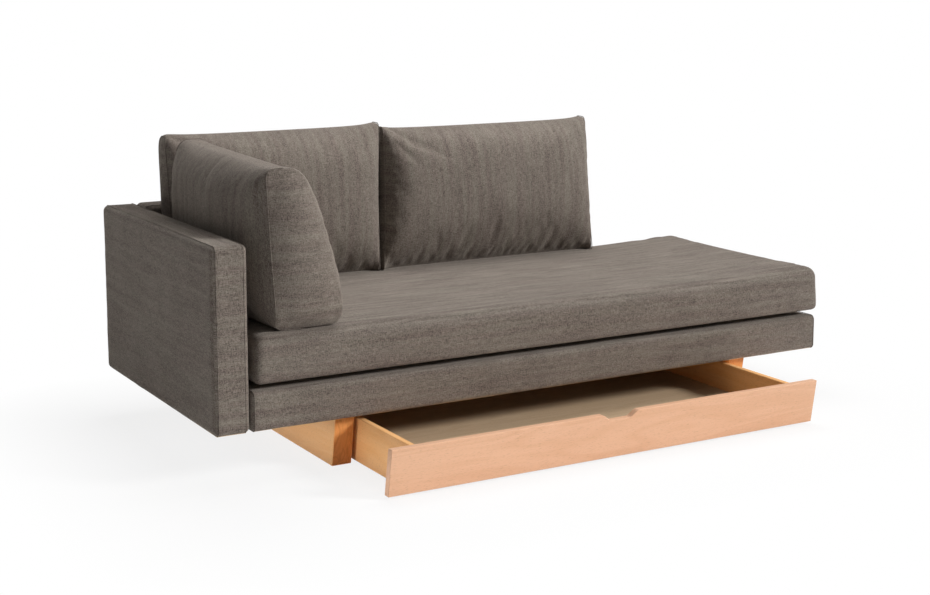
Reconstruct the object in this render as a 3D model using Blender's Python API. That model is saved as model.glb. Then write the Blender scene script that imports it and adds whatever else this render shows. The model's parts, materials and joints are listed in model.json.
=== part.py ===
"""Sofa bed with one arm, a pull-out seat, loose cushions and a floor drawer.

Metres, +Z up. The pieces are modelled in the sofa's own frame: x = 0 is the
arm's inner face, y = 0 the seat's front face, z = 0 the floor. One parent
empty then brings the middle of the footprint to the world's origin.
"""

import math

import bmesh
import bpy

# The whole sofa
SEAT_LENGTH = 2.000
SEAT_DEPTH = 0.810
PANEL_THICKNESS = 0.104
PANEL_TOP = 0.665
BACK_LENGTH = 1.600
UNDERSIDE = 0.150
BASE_THICKNESS = 0.1105
SLIDE_GAP = 0.016
SEAT_THICKNESS = 0.1345

# Gaps between pieces
FIT = 0.0003
PANEL_CLEARANCE = 0.003
RUNNING_CLEARANCE = 0.0005
CUT_OVERRUN = 0.002

# Upholstered shells: foam and fabric round a wooden frame
PANEL_WALL = 0.010
PANEL_EDGE_RADIUS = 0.014
BASE_WALL = 0.010
BASE_TOP_WALL = 0.009
BASE_EDGE_RADIUS = 0.010
INNER_RADIUS = 0.0006

# Arm and back frames
PANEL_POST_WIDTH = 0.045
PANEL_RAIL_HEIGHT = 0.045
PANEL_BAY_WIDTH = 0.170
LINER_THICKNESS = 0.0035
JOINING_PLATE_THICKNESS = 0.0045
JOINING_PLATE_EDGE = 0.018
ARM_PLATE_SHARES = (0.16, 0.80)
BACK_PLATE_SHARES = (0.12, 0.88)

# Plinth boards and the slanted front that the drawer shares with them
BOARD_THICKNESS = 0.061
BOARD_INSET = 0.267
BOARD_REAR_SETBACK = 0.040
FRONT_SETBACK = 0.039
FRONT_SLANT_SHARE = 0.165
BOARD_EDGE_RADIUS = 0.002
PLINTH_RAIL_THICKNESS = 0.022
PLINTH_RAIL_LIFT = 0.010

# Wooden frame of the base
BASE_RAIL_THICKNESS = 0.022
DECK_THICKNESS = 0.009
BEARER_THICKNESS = 0.022
BEARER_OVERHANG = 0.045
BEARER_WEB_THICKNESS = 0.036
ANGLE_THICKNESS = 0.003
ANGLE_LEG = 0.038
ANGLE_PLACE_SHARES = (0.34, 0.86)

# Slides between the base and the seat unit
SLIDE_WIDTH = 0.040
SLIDE_FRONT_SETBACK = 0.145
SLIDE_REAR_SETBACK = 0.030
GLIDE_THICKNESS = 0.003
GLIDE_CHEEK_WIDTH = 0.009
GLIDE_CHEEK_LENGTH = 0.135
GLIDE_CHEEK_DROP = 0.0115
GLIDE_CHEEK_INSET = 0.0005
GLIDE_FRONT_SETBACK = 0.110
SEAT_TRAVEL = 0.450
STOP_SLACK = 0.002

# Seat unit: mattress on a slatted frame
SEAT_END_CLEARANCE = 0.0156
MATTRESS_WALL = 0.018
MATTRESS_CORNER_RADIUS = 0.034
MATTRESS_EDGE_RADIUS = 0.027
MATTRESS_DRAW_IN = 0.004
MATTRESS_CROWN = 0.005
MATTRESS_CROWN_REACH = 0.140
SEAT_RAIL_THICKNESS = 0.022
SEAT_RAIL_HEIGHT = 0.045
CROSSBAR_WIDTH = 0.060
SEAT_DECK_THICKNESS = 0.009
VENT_COLUMNS = 8
VENT_ROWS = 2
VENT_WIDTH = 0.032
VENT_MARGIN = 0.130
VENT_BRIDGE = 0.090
VENT_END_STEPS = 4

# Folding legs under the seat's front edge
LEG_THICKNESS = 0.008
LEG_WIDTH = 0.028
LEG_PIVOT_HEIGHT = 0.308
LEG_PIVOT_INSET = 0.040
LEG_GAP = 0.002
LEG_FLOOR_CLEARANCE = 0.002
LEG_RAIL_GAP = 0.006
PIN_DIAMETER = 0.008
PIN_HEAD_DIAMETER = 0.014
PIN_HEAD_THICKNESS = 0.0015
FOOT_HEIGHT = 0.022
FOOT_WALL = 0.001

# Drawer
DRAWER_FRONT_BOTTOM = 0.008
DRAWER_FRONT_TOP = 0.142
DRAWER_FRONT_THICKNESS = 0.022
DRAWER_REST_OPENING = 0.321
DRAWER_SIDE_CLEARANCE = 0.012
DRAWER_SIDE_THICKNESS = 0.018
DRAWER_SIDE_BOTTOM = 0.006
DRAWER_SIDE_TOP = 0.135
DRAWER_BACK_TOP = 0.125
DRAWER_LENGTH = 0.700
DRAWER_BOTTOM_THICKNESS = 0.006
DRAWER_EDGE_RADIUS = 0.0015
NOTCH_WIDTH = 0.131
NOTCH_FLAT = 0.059
NOTCH_DEPTH = 0.019
NOTCH_STEPS = 8
GROOVE_DEPTH = 0.006
MUNTIN_WIDTH = 0.040
MUNTIN_FOOT = 0.012
GUIDE_HEIGHT = 0.040
GUIDE_FOOT = 0.050
GUIDE_FRONT_SETBACK = 0.045

# Castors under the drawer
WHEEL_RADIUS = 0.018
WHEEL_WIDTH = 0.016
WHEEL_BORE_RADIUS = 0.0035
WHEEL_CHAMFER = 0.002
WHEEL_SIDE_GAP = 0.0012
WHEEL_TOP_GAP = 0.002
WHEEL_HUB_STEP = 0.0008
AXLE_RADIUS = 0.003
AXLE_HEAD_THICKNESS = 0.0012
CASTOR_PLATE = 0.002
CASTOR_LENGTH = 0.026
CASTOR_DROP = 0.007
CASTOR_FLANGE = 0.008
CASTOR_END_INSET = 0.070
CASTOR_SIDE_GAP = 0.002

# Back cushions, wedges that stand on the seat and lean on the back panel
BACK_CUSHION_START = 0.045
BACK_CUSHION_LENGTHS = (0.705, 0.818)
BACK_CUSHION_SPACING = 0.016
BACK_CUSHION_HEIGHTS = (0.474, 0.464)
BACK_CUSHION_SAGS = (0.023, 0.012)
BACK_CUSHION_END_LEAN = 0.028
BACK_CUSHION_FOOT = 0.124
BACK_CUSHION_HEAD = 0.076
BACK_CUSHION_FOOT_GAP = 0.006
BACK_CUSHION_CROWN = 0.045
CUSHION_TUCK = 0.050
CUSHION_DRAW_IN = 0.006
CUSHION_BOX_PUFF = 0.007
LEAN_CLEARANCE = 0.0015

# Side cushion, which leans on the arm: its rear end lies closer to the arm and higher
SIDE_CUSHION_FRONT = 0.022
SIDE_CUSHION_REAR_SPACE = 0.035
SIDE_CUSHION_HEIGHT = 0.448
SIDE_CUSHION_SAG = 0.006
SIDE_CUSHION_REAR_RISE = 0.024
SIDE_CUSHION_TURN = 0.048
SIDE_CUSHION_HEAD_TURN = 0.020
SIDE_CUSHION_FOOT_START = 0.092
SIDE_CUSHION_HEAD_START = 0.064
SIDE_CUSHION_FOOT = 0.200
SIDE_CUSHION_HEAD = 0.100
SIDE_CUSHION_BOW = 0.024
SIDE_CUSHION_CROWN = 0.028
SIDE_CUSHION_TUCK = 0.030
SIDE_CUSHION_END_PUFF = 0.020
ARM_TOUCH_CLEARANCE = 0.003

# Counts and shares that shape the soft forms
CORNER_STEPS = 3
CUSHION_LONG_STEPS = 18
CUSHION_HIGH_STEPS = 12
CROWN_POWER_SHARE = 2.6
SAG_POWER_SHARE = 4.0
SAG_FADE_SHARE = 3.0
SIDE_FADE_SHARE = 2.0
TUCK_POWER_SHARE = 14
TOUCH_PLACE_SHARE = 0.55
TURN_POWER_SHARE = 4
WHEEL_SEGMENTS = 20
PIN_SEGMENTS = 16

# Heights and lines that follow from the sizes above
BODY_DEPTH = SEAT_DEPTH + PANEL_THICKNESS
BASE_TOP = UNDERSIDE + BASE_THICKNESS
SEAT_BOTTOM = BASE_TOP + SLIDE_GAP
SEAT_TOP = SEAT_BOTTOM + SEAT_THICKNESS
FRAME_FOOT = UNDERSIDE + FIT
MIDDLE = SEAT_LENGTH / 2
BOARD_TOP = UNDERSIDE
BOARD_REAR = SEAT_DEPTH - BOARD_REAR_SETBACK
SLANTED_THICKNESS = DRAWER_FRONT_THICKNESS * math.hypot(1, FRONT_SLANT_SHARE)
DRAWER_SHIFT = -DRAWER_REST_OPENING - RUNNING_CLEARANCE
DRAWER_FACE = FRONT_SETBACK + DRAWER_SHIFT - SLANTED_THICKNESS
DRAWER_REAR = FRONT_SETBACK + DRAWER_SHIFT + DRAWER_LENGTH
DRAWER_SIDE = BOARD_INSET + BOARD_THICKNESS + DRAWER_SIDE_CLEARANCE
DRAWER_INNER = DRAWER_SIDE + DRAWER_SIDE_THICKNESS
SLIDE_PLACES = {
    "left": BOARD_INSET + BOARD_THICKNESS / 2,
    "right": SEAT_LENGTH - BOARD_INSET - BOARD_THICKNESS / 2,
}
GLIDE_BOTTOM = SEAT_BOTTOM - FIT - GLIDE_THICKNESS
LEG_FRONT = MATTRESS_WALL + LEG_GAP
SEAT_FRAME_FRONT = LEG_FRONT + LEG_THICKNESS + LEG_RAIL_GAP
SEAT_UNIT_DEPTH = SEAT_DEPTH - PANEL_CLEARANCE
SEAT_FRAME_REAR = SEAT_UNIT_DEPTH - MATTRESS_WALL - LEG_GAP
SEAT_FRAME_LEFT = SEAT_END_CLEARANCE + MATTRESS_WALL + LEG_GAP
SEAT_FRAME_RIGHT = SEAT_LENGTH - MATTRESS_WALL - LEG_GAP
SEAT_RAIL_TOP = SEAT_BOTTOM + SEAT_RAIL_HEIGHT
SEAT_DECK_BOTTOM = SEAT_RAIL_TOP + FIT
SEAT_DECK_TOP = SEAT_DECK_BOTTOM + SEAT_DECK_THICKNESS
CASTOR_AXLE_HEIGHT = WHEEL_RADIUS + RUNNING_CLEARANCE
CASTOR_TOP = CASTOR_AXLE_HEIGHT + WHEEL_RADIUS + WHEEL_TOP_GAP + CASTOR_PLATE
DRAWER_FLOOR_BOTTOM = CASTOR_TOP + FIT
CASTOR_HALF = WHEEL_WIDTH / 2 + WHEEL_SIDE_GAP + CASTOR_PLATE
CUSHION_FOOT_HEIGHT = SEAT_TOP + FIT
BACK_CUSHION_STARTS = (
    BACK_CUSHION_START,
    BACK_CUSHION_START + BACK_CUSHION_LENGTHS[0] + BACK_CUSHION_SPACING,
)
BACK_CUSHION_FRONT = SEAT_DEPTH - BACK_CUSHION_FOOT_GAP - BACK_CUSHION_FOOT
SIDE_CUSHION_LENGTH = BACK_CUSHION_FRONT - SIDE_CUSHION_REAR_SPACE - SIDE_CUSHION_FRONT

FABRIC = ((0.160, 0.135, 0.117), 0.92, 0.0)
BEECH = ((0.640, 0.405, 0.265), 0.48, 0.0)
PALE_WOOD = ((0.720, 0.560, 0.390), 0.60, 0.0)
PLYWOOD = ((0.620, 0.470, 0.320), 0.65, 0.0)
STEEL = ((0.560, 0.570, 0.580), 0.35, 1.0)
BLACK_STEEL = ((0.050, 0.050, 0.055), 0.45, 0.8)
NYLON = ((0.760, 0.750, 0.720), 0.40, 0.0)
RUBBER = ((0.045, 0.045, 0.045), 0.75, 0.0)


def clear_scene():
    for item in list(bpy.data.objects):
        bpy.data.objects.remove(item, do_unlink=True)


def finish_material(name, finish):
    colour, roughness, metallic = finish
    material = bpy.data.materials.new(name)
    material.use_nodes = True
    shader = material.node_tree.nodes["Principled BSDF"]
    shader.inputs["Base Color"].default_value = (*colour, 1.0)
    shader.inputs["Roughness"].default_value = roughness
    shader.inputs["Metallic"].default_value = metallic
    material.diffuse_color = (*colour, 1.0)
    return material


def make_empty(name, place, parent=None):
    empty = bpy.data.objects.new(name, None)
    bpy.context.scene.collection.objects.link(empty)
    empty.parent = parent
    empty.location = place
    return empty


def make_piece(name, form, finish, parent, origin=(0, 0, 0), smooth_angle=None):
    """Turn a bmesh in sofa coordinates into an object whose origin is given."""
    holder = parent["place"]
    shift = [-value for value in origin]
    bmesh.ops.translate(form, vec=shift, verts=form.verts)
    bmesh.ops.recalc_face_normals(form, faces=form.faces)
    mesh = bpy.data.meshes.new(name)
    form.to_mesh(mesh)
    form.free()
    piece = bpy.data.objects.new(name, mesh)
    bpy.context.scene.collection.objects.link(piece)
    mesh.materials.append(finish_material(name + "_finish", finish))
    if smooth_angle is not None:
        mesh.shade_smooth()
        mesh.set_sharp_from_angle(angle=smooth_angle)
    piece.parent = parent["empty"]
    piece.location = [value - base for value, base in zip(origin, holder)]
    return piece


def add_rounding(piece, radius, steps=1):
    bevel = piece.modifiers.new("rounded_edges", "BEVEL")
    bevel.width = radius
    bevel.segments = steps
    bevel.limit_method = "ANGLE"
    bevel.angle_limit = math.radians(30)


def add_box(form, low, high):
    corners = [
        form.verts.new((x, y, z))
        for z in (low[2], high[2])
        for y in (low[1], high[1])
        for x in (low[0], high[0])
    ]
    faces = ((0, 2, 3, 1), (4, 5, 7, 6), (0, 1, 5, 4), (2, 6, 7, 3), (0, 4, 6, 2), (1, 3, 7, 5))
    for face in faces:
        form.faces.new([corners[index] for index in face])


def add_prism(form, outline, axis, start, end):
    """Extrude a flat outline along an axis. The outline holds the other two."""

    def corner(point, along):
        values = list(point)
        values.insert(axis, along)
        return values

    first = [form.verts.new(corner(point, start)) for point in outline]
    last = [form.verts.new(corner(point, end)) for point in outline]
    form.faces.new(first)
    form.faces.new(list(reversed(last)))
    count = len(outline)
    for index in range(count):
        following = (index + 1) % count
        form.faces.new((first[index], last[index], last[following], first[following]))


def add_loft(form, rings):
    """Join rings of equal count with quads and close both ends."""
    loops = [[form.verts.new(point) for point in ring] for ring in rings]
    count = len(loops[0])
    for lower, upper in zip(loops, loops[1:]):
        for index in range(count):
            following = (index + 1) % count
            form.faces.new((lower[index], lower[following], upper[following], upper[index]))
    form.faces.new(list(reversed(loops[0])))
    form.faces.new(loops[-1])


def add_turned(form, centre, axis, profile, segments):
    """Turn a closed profile of (along, radius) points round an axis."""
    across = [index for index in range(3) if index != axis]
    loops = []
    for step in range(segments):
        angle = 2 * math.pi * step / segments
        loop = []
        for along, radius in profile:
            point = list(centre)
            point[axis] += along
            point[across[0]] += radius * math.cos(angle)
            point[across[1]] += radius * math.sin(angle)
            loop.append(form.verts.new(point))
        loops.append(loop)
    count = len(profile)
    for step in range(segments):
        here = loops[step]
        beyond = loops[(step + 1) % segments]
        for index in range(count):
            following = (index + 1) % count
            form.faces.new((here[index], beyond[index], beyond[following], here[following]))


def circle_points(centre, radius, segments):
    return [
        (
            centre[0] + radius * math.cos(2 * math.pi * step / segments),
            centre[1] + radius * math.sin(2 * math.pi * step / segments),
        )
        for step in range(segments)
    ]


def add_rod(form, centre, axis, steps, segments):
    """A solid rod whose (along, radius) steps run from one end to the other."""
    across = [index for index in range(3) if index != axis]
    rings = []
    for along, radius in steps:
        ring = []
        for first, second in circle_points((0, 0), radius, segments):
            point = list(centre)
            point[axis] += along
            point[across[0]] += first
            point[across[1]] += second
            ring.append(point)
        rings.append(ring)
    add_loft(form, rings)


def rounded_rectangle(low, high, radius, height):
    """One ring, corner by corner, anticlockwise seen from above."""
    points = []
    centres = (
        (high[0] - radius, high[1] - radius, 0),
        (low[0] + radius, high[1] - radius, 90),
        (low[0] + radius, low[1] + radius, 180),
        (high[0] - radius, low[1] + radius, 270),
    )
    for x, y, turn in centres:
        for step in range(CORNER_STEPS + 1):
            angle = math.radians(turn + 90 * step / CORNER_STEPS)
            points.append((x + radius * math.cos(angle), y + radius * math.sin(angle), height))
    return points


def inset_ring(low, high, inset, radius, height):
    inner_low = (low[0] + inset, low[1] + inset)
    inner_high = (high[0] - inset, high[1] - inset)
    return rounded_rectangle(inner_low, inner_high, radius, height)


def add_shell(form, low, high, wall, roof, edge_radius):
    """An upholstered shell, rounded outside and open underneath."""
    rings = [
        inset_ring(low, high, wall, INNER_RADIUS, high[2] - roof),
        inset_ring(low, high, wall, INNER_RADIUS, low[2]),
        inset_ring(low, high, 0, edge_radius, low[2]),
    ]
    for step in range(CORNER_STEPS + 1):
        angle = math.radians(90 * step / CORNER_STEPS)
        inset = edge_radius * (1 - math.cos(angle))
        height = high[2] - edge_radius * (1 - math.sin(angle))
        corner = max(edge_radius - inset, INNER_RADIUS)
        rings.append(inset_ring(low, high, inset, corner, height))
    add_loft(form, rings)


def board(name, low, high, finish, parent, radius=None):
    form = bmesh.new()
    add_box(form, low, high)
    piece = make_piece(name, form, finish, parent)
    if radius:
        add_rounding(piece, radius)
    return piece


def add_pierced_plate(form, outline, holes, axis, start, end):
    """Extrude a flat outline with holes along an axis."""
    loops = [outline] + holes
    near_loops = []
    for loop in loops:
        verts = []
        for point in loop:
            values = list(point)
            values.insert(axis, start)
            verts.append(form.verts.new(values))
        near_loops.append(verts)
    edges = []
    for verts in near_loops:
        for index, vertex in enumerate(verts):
            edges.append(form.edges.new((vertex, verts[(index + 1) % len(verts)])))
    filled = bmesh.ops.triangle_fill(form, edges=edges, use_beauty=True)
    faces = [item for item in filled["geom"] if isinstance(item, bmesh.types.BMFace)]
    far = {}
    for verts in near_loops:
        for vertex in verts:
            values = list(vertex.co)
            values[axis] = end
            far[vertex] = form.verts.new(values)
    for face in faces:
        form.faces.new([far[vertex] for vertex in reversed(face.verts)])
    for verts in near_loops:
        for index, vertex in enumerate(verts):
            following = verts[(index + 1) % len(verts)]
            form.faces.new((vertex, following, far[following], far[vertex]))


def panel_frame(name, axis, flat_low, flat_high, start, end, root):
    """A glued ladder frame: two rails and as many posts as the bays ask for."""
    span = flat_high[0] - flat_low[0]
    bays = math.ceil((span - PANEL_POST_WIDTH) / (PANEL_BAY_WIDTH + PANEL_POST_WIDTH))
    pitch = (span - PANEL_POST_WIDTH) / bays
    bottom = flat_low[1] + PANEL_RAIL_HEIGHT
    top = flat_high[1] - PANEL_RAIL_HEIGHT
    outline = [flat_low, (flat_high[0], flat_low[1]), flat_high, (flat_low[0], flat_high[1])]
    windows = []
    for index in range(bays):
        first = flat_low[0] + PANEL_POST_WIDTH + pitch * index
        last = first + pitch - PANEL_POST_WIDTH
        windows.append([(first, bottom), (last, bottom), (last, top), (first, top)])
    form = bmesh.new()
    add_pierced_plate(form, outline, windows, axis, start, end)
    make_piece(name, form, PALE_WOOD, root)


def mirrored(low, high):
    """The same box on the other side of the sofa's middle."""
    return (
        (SEAT_LENGTH - high[0], low[1], low[2]),
        (SEAT_LENGTH - low[0], high[1], high[2]),
    )


def front_line(height):
    """The slanted front that boards and drawer share, at a height."""
    return FRONT_SETBACK + FRONT_SLANT_SHARE * (DRAWER_FRONT_TOP - height)


def drawer_line(height):
    """Just behind the drawer front's back face, at rest."""
    return front_line(height) + DRAWER_SHIFT + FIT


def make_plinth(root):
    outline = [
        (front_line(0), 0),
        (BOARD_REAR, 0),
        (BOARD_REAR, BOARD_TOP),
        (front_line(BOARD_TOP), BOARD_TOP),
    ]
    starts = (("left", BOARD_INSET), ("right", SEAT_LENGTH - BOARD_INSET - BOARD_THICKNESS))
    for side, start in starts:
        form = bmesh.new()
        add_prism(form, outline, 0, start, start + BOARD_THICKNESS)
        piece = make_piece("plinth_board_" + side, form, BEECH, root)
        add_rounding(piece, BOARD_EDGE_RADIUS)
    inner = BOARD_INSET + BOARD_THICKNESS + FIT
    board(
        "plinth_rear_rail",
        (inner, BOARD_REAR - PLINTH_RAIL_THICKNESS, PLINTH_RAIL_LIFT),
        (SEAT_LENGTH - inner, BOARD_REAR, BOARD_TOP),
        BEECH,
        root,
    )
    make_angles(root, inner)


def make_angles(root, inner):
    """Steel angles that hold the base on the boards' inner faces."""
    top = BOARD_TOP
    start, end = (share * BOARD_REAR for share in ANGLE_PLACE_SHARES)
    section = [
        (inner, top),
        (inner, top - ANGLE_LEG),
        (inner + ANGLE_THICKNESS, top - ANGLE_LEG),
        (inner + ANGLE_THICKNESS, top - ANGLE_THICKNESS),
        (inner + ANGLE_LEG, top - ANGLE_THICKNESS),
        (inner + ANGLE_LEG, top),
    ]
    other = [(SEAT_LENGTH - x, z) for x, z in section]
    for side, outline in (("left", section), ("right", other)):
        form = bmesh.new()
        add_prism(form, outline, 1, start, end)
        make_piece("plinth_angle_" + side, form, STEEL, root)


def make_base(root):
    """Wooden frame, bearers, joists and deck inside one upholstered shell."""
    low = (PANEL_CLEARANCE, 0, UNDERSIDE)
    high = (SEAT_LENGTH, SEAT_UNIT_DEPTH, BASE_TOP)
    form = bmesh.new()
    add_shell(form, low, high, BASE_WALL, BASE_TOP_WALL, BASE_EDGE_RADIUS)
    make_piece("base_cover", form, FABRIC, root)

    left = low[0] + BASE_WALL + FIT
    right = high[0] - BASE_WALL - FIT
    front = BASE_WALL + FIT
    rear = high[1] - BASE_WALL - FIT
    deck_top = BASE_TOP - BASE_TOP_WALL - FIT
    deck_bottom = deck_top - DECK_THICKNESS
    rail_top = deck_bottom - FIT
    depth = BASE_RAIL_THICKNESS
    board("base_deck", (left, front, deck_bottom), (right, rear, deck_top), PLYWOOD, root)
    front_high = (right, front + depth, rail_top)
    board("base_rail_front", (left, front, FRAME_FOOT), front_high, PALE_WOOD, root)
    rear_low = (left, rear - depth, FRAME_FOOT)
    board("base_rail_rear", rear_low, (right, rear, rail_top), PALE_WOOD, root)
    inside_front = front + depth + FIT
    inside_rear = rear - depth - FIT
    board(
        "base_rail_left",
        (left, inside_front, FRAME_FOOT),
        (left + depth, inside_rear, rail_top),
        PALE_WOOD,
        root,
    )
    board(
        "base_rail_right",
        (right - depth, inside_front, FRAME_FOOT),
        (right, inside_rear, rail_top),
        PALE_WOOD,
        root,
    )
    make_bearers(root, inside_front, inside_rear, rail_top)


def make_bearers(root, front, rear, top):
    """Glued T-beams: a foot wider than the board below, and an upright web."""
    foot_left = BOARD_INSET - BEARER_OVERHANG
    foot_right = BOARD_INSET + BOARD_THICKNESS + BEARER_OVERHANG
    web_left = SLIDE_PLACES["left"] - BEARER_WEB_THICKNESS / 2
    web_right = SLIDE_PLACES["left"] + BEARER_WEB_THICKNESS / 2
    foot_top = FRAME_FOOT + BEARER_THICKNESS
    section = [
        (foot_left, FRAME_FOOT),
        (foot_right, FRAME_FOOT),
        (foot_right, foot_top),
        (web_right, foot_top),
        (web_right, top),
        (web_left, top),
        (web_left, foot_top),
        (foot_left, foot_top),
    ]
    other = [(SEAT_LENGTH - x, z) for x, z in section]
    for side, outline in (("left", section), ("right", other)):
        form = bmesh.new()
        add_prism(form, outline, 1, front, rear)
        make_piece("base_bearer_" + side, form, PALE_WOOD, root)


def make_slides(root):
    """Hardwood strips on the base that the seat's glides run on.

    The wider head at the front end stops the glides' cheeks.
    """
    head_end = cheek_front() - SEAT_TRAVEL - STOP_SLACK
    rear = SEAT_UNIT_DEPTH - SLIDE_REAR_SETBACK
    half = SLIDE_WIDTH / 2
    head = half + RUNNING_CLEARANCE + GLIDE_CHEEK_WIDTH
    for side, place in SLIDE_PLACES.items():
        outline = [
            (place - head, SLIDE_FRONT_SETBACK),
            (place + head, SLIDE_FRONT_SETBACK),
            (place + head, head_end),
            (place + half, head_end),
            (place + half, rear),
            (place - half, rear),
            (place - half, head_end),
            (place - head, head_end),
        ]
        form = bmesh.new()
        add_prism(form, outline, 2, BASE_TOP + FIT, GLIDE_BOTTOM - FIT)
        make_piece("base_slide_" + side, form, BEECH, root)


def cheek_front():
    """Where the glides' cheeks start. They end with the glide."""
    return SEAT_FRAME_REAR - SEAT_RAIL_THICKNESS - FIT - GLIDE_CHEEK_LENGTH


def make_arm(root):
    low = (-PANEL_THICKNESS, 0, UNDERSIDE)
    high = (0, BODY_DEPTH, PANEL_TOP)
    form = bmesh.new()
    add_shell(form, low, high, PANEL_WALL, PANEL_WALL, PANEL_EDGE_RADIUS)
    make_piece("arm_cover", form, FABRIC, root, smooth_angle=math.radians(50))

    front = low[1] + PANEL_WALL + FIT
    rear = high[1] - PANEL_WALL - FIT
    top = PANEL_TOP - PANEL_WALL - FIT
    outer = low[0] + PANEL_WALL + FIT
    inner = high[0] - PANEL_WALL - FIT
    core_outer = outer + LINER_THICKNESS + FIT
    core_inner = inner - LINER_THICKNESS - FIT
    outer_high = (outer + LINER_THICKNESS, rear, top)
    inner_low = (inner - LINER_THICKNESS, front, FRAME_FOOT)
    board("arm_liner_outer", (outer, front, FRAME_FOOT), outer_high, PLYWOOD, root)
    board("arm_liner_inner", inner_low, (inner, rear, top), PLYWOOD, root)
    panel_frame("arm_frame", 0, (front, FRAME_FOOT), (rear, top), core_outer, core_inner, root)

    start, end = (share * SEAT_DEPTH for share in ARM_PLATE_SHARES)
    plate_top = UNDERSIDE - FIT
    base_grip = PANEL_CLEARANCE + BASE_WALL + FIT + BASE_RAIL_THICKNESS
    plate_low = (core_outer + JOINING_PLATE_EDGE, start, plate_top - JOINING_PLATE_THICKNESS)
    board("arm_joining_plate", plate_low, (base_grip, end, plate_top), STEEL, root)


def make_back(root):
    low = (FIT, SEAT_DEPTH, UNDERSIDE)
    high = (BACK_LENGTH, BODY_DEPTH, PANEL_TOP)
    form = bmesh.new()
    add_shell(form, low, high, PANEL_WALL, PANEL_WALL, PANEL_EDGE_RADIUS)
    make_piece("back_cover", form, FABRIC, root, smooth_angle=math.radians(50))

    left = low[0] + PANEL_WALL + FIT
    right = high[0] - PANEL_WALL - FIT
    top = PANEL_TOP - PANEL_WALL - FIT
    front = low[1] + PANEL_WALL + FIT
    rear = high[1] - PANEL_WALL - FIT
    core_front = front + LINER_THICKNESS + FIT
    core_rear = rear - LINER_THICKNESS - FIT
    front_high = (right, front + LINER_THICKNESS, top)
    rear_low = (left, rear - LINER_THICKNESS, FRAME_FOOT)
    board("back_liner_front", (left, front, FRAME_FOOT), front_high, PLYWOOD, root)
    board("back_liner_rear", rear_low, (right, rear, top), PLYWOOD, root)
    panel_frame("back_frame", 1, (left, FRAME_FOOT), (right, top), core_front, core_rear, root)

    start, end = (share * BACK_LENGTH for share in BACK_PLATE_SHARES)
    plate_top = UNDERSIDE - FIT
    base_grip = SEAT_UNIT_DEPTH - BASE_WALL - FIT - BASE_RAIL_THICKNESS
    plate_low = (start, base_grip, plate_top - JOINING_PLATE_THICKNESS)
    plate_high = (end, core_rear - JOINING_PLATE_EDGE, plate_top)
    board("back_joining_plate", plate_low, plate_high, STEEL, root)


def make_seat_frame(seat):
    left, right = SEAT_FRAME_LEFT, SEAT_FRAME_RIGHT
    front, rear = SEAT_FRAME_FRONT, SEAT_FRAME_REAR
    depth = SEAT_RAIL_THICKNESS
    foot, top = SEAT_BOTTOM, SEAT_RAIL_TOP
    board("seat_rail_front", (left, front, foot), (right, front + depth, top), PALE_WOOD, seat)
    board("seat_rail_rear", (left, rear - depth, foot), (right, rear, top), PALE_WOOD, seat)
    inside_front = front + depth + FIT
    inside_rear = rear - depth - FIT
    left_high = (left + depth, inside_rear, top)
    right_low = (right - depth, inside_front, foot)
    board("seat_rail_left", (left, inside_front, foot), left_high, PALE_WOOD, seat)
    board("seat_rail_right", right_low, (right, inside_rear, top), PALE_WOOD, seat)
    half = CROSSBAR_WIDTH / 2
    for side, place in SLIDE_PLACES.items():
        bar_low = (place - half, inside_front, foot)
        bar_high = (place + half, inside_rear, top)
        board("seat_crossbar_" + side, bar_low, bar_high, PALE_WOOD, seat)
        make_glide(side, place, inside_front + GLIDE_FRONT_SETBACK, inside_rear, seat)
    make_seat_deck(seat)


def make_glide(side, place, front, rear, seat):
    """A nylon strip under a crossbar, with cheeks that straddle the slide."""
    inner = SLIDE_WIDTH / 2 + RUNNING_CLEARANCE
    outer = inner + GLIDE_CHEEK_WIDTH
    top = SEAT_BOTTOM - FIT
    form = bmesh.new()
    add_box(form, (place - outer, front, GLIDE_BOTTOM), (place + outer, rear, top))
    strip = make_piece("seat_glide_" + side, form, NYLON, seat)
    cheeks = bmesh.new()
    cheek_top = (GLIDE_BOTTOM + top) / 2
    for direction in (-1, 1):
        edges = sorted((place + direction * inner, place + direction * (outer - GLIDE_CHEEK_INSET)))
        cheek_low = (edges[0], cheek_front(), top - GLIDE_CHEEK_DROP)
        cheek_high = (edges[1], rear - GLIDE_CHEEK_INSET, cheek_top)
        add_box(cheeks, cheek_low, cheek_high)
    combine(strip, "glide_cheeks_" + side, cheeks, seat, "UNION")


def slot_outline(x, low, high):
    """A slot with round ends along Y, anticlockwise."""
    radius = VENT_WIDTH / 2
    points = []
    for centre, turn in ((high - radius, 0), (low + radius, math.pi)):
        for step in range(VENT_END_STEPS + 1):
            angle = turn + math.pi * step / VENT_END_STEPS
            points.append((x + radius * math.cos(angle), centre + radius * math.sin(angle)))
    return points


def make_seat_deck(seat):
    """A plywood deck with slots that air the mattress."""
    low = (SEAT_FRAME_LEFT, SEAT_FRAME_FRONT)
    high = (SEAT_FRAME_RIGHT, SEAT_FRAME_REAR)
    outline = [low, (high[0], low[1]), high, (low[0], high[1])]
    first = low[0] + VENT_MARGIN
    pitch = (high[0] - low[0] - 2 * VENT_MARGIN) / (VENT_COLUMNS - 1)
    usable = high[1] - low[1] - 2 * VENT_BRIDGE
    slot = (usable - VENT_BRIDGE * (VENT_ROWS - 1)) / VENT_ROWS
    slots = []
    for column in range(VENT_COLUMNS):
        for row in range(VENT_ROWS):
            start = low[1] + VENT_BRIDGE + row * (slot + VENT_BRIDGE)
            slots.append(slot_outline(first + pitch * column, start, start + slot))
    form = bmesh.new()
    add_pierced_plate(form, outline, slots, 2, SEAT_DECK_BOTTOM, SEAT_DECK_TOP)
    make_piece("seat_deck", form, PLYWOOD, seat)


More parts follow.
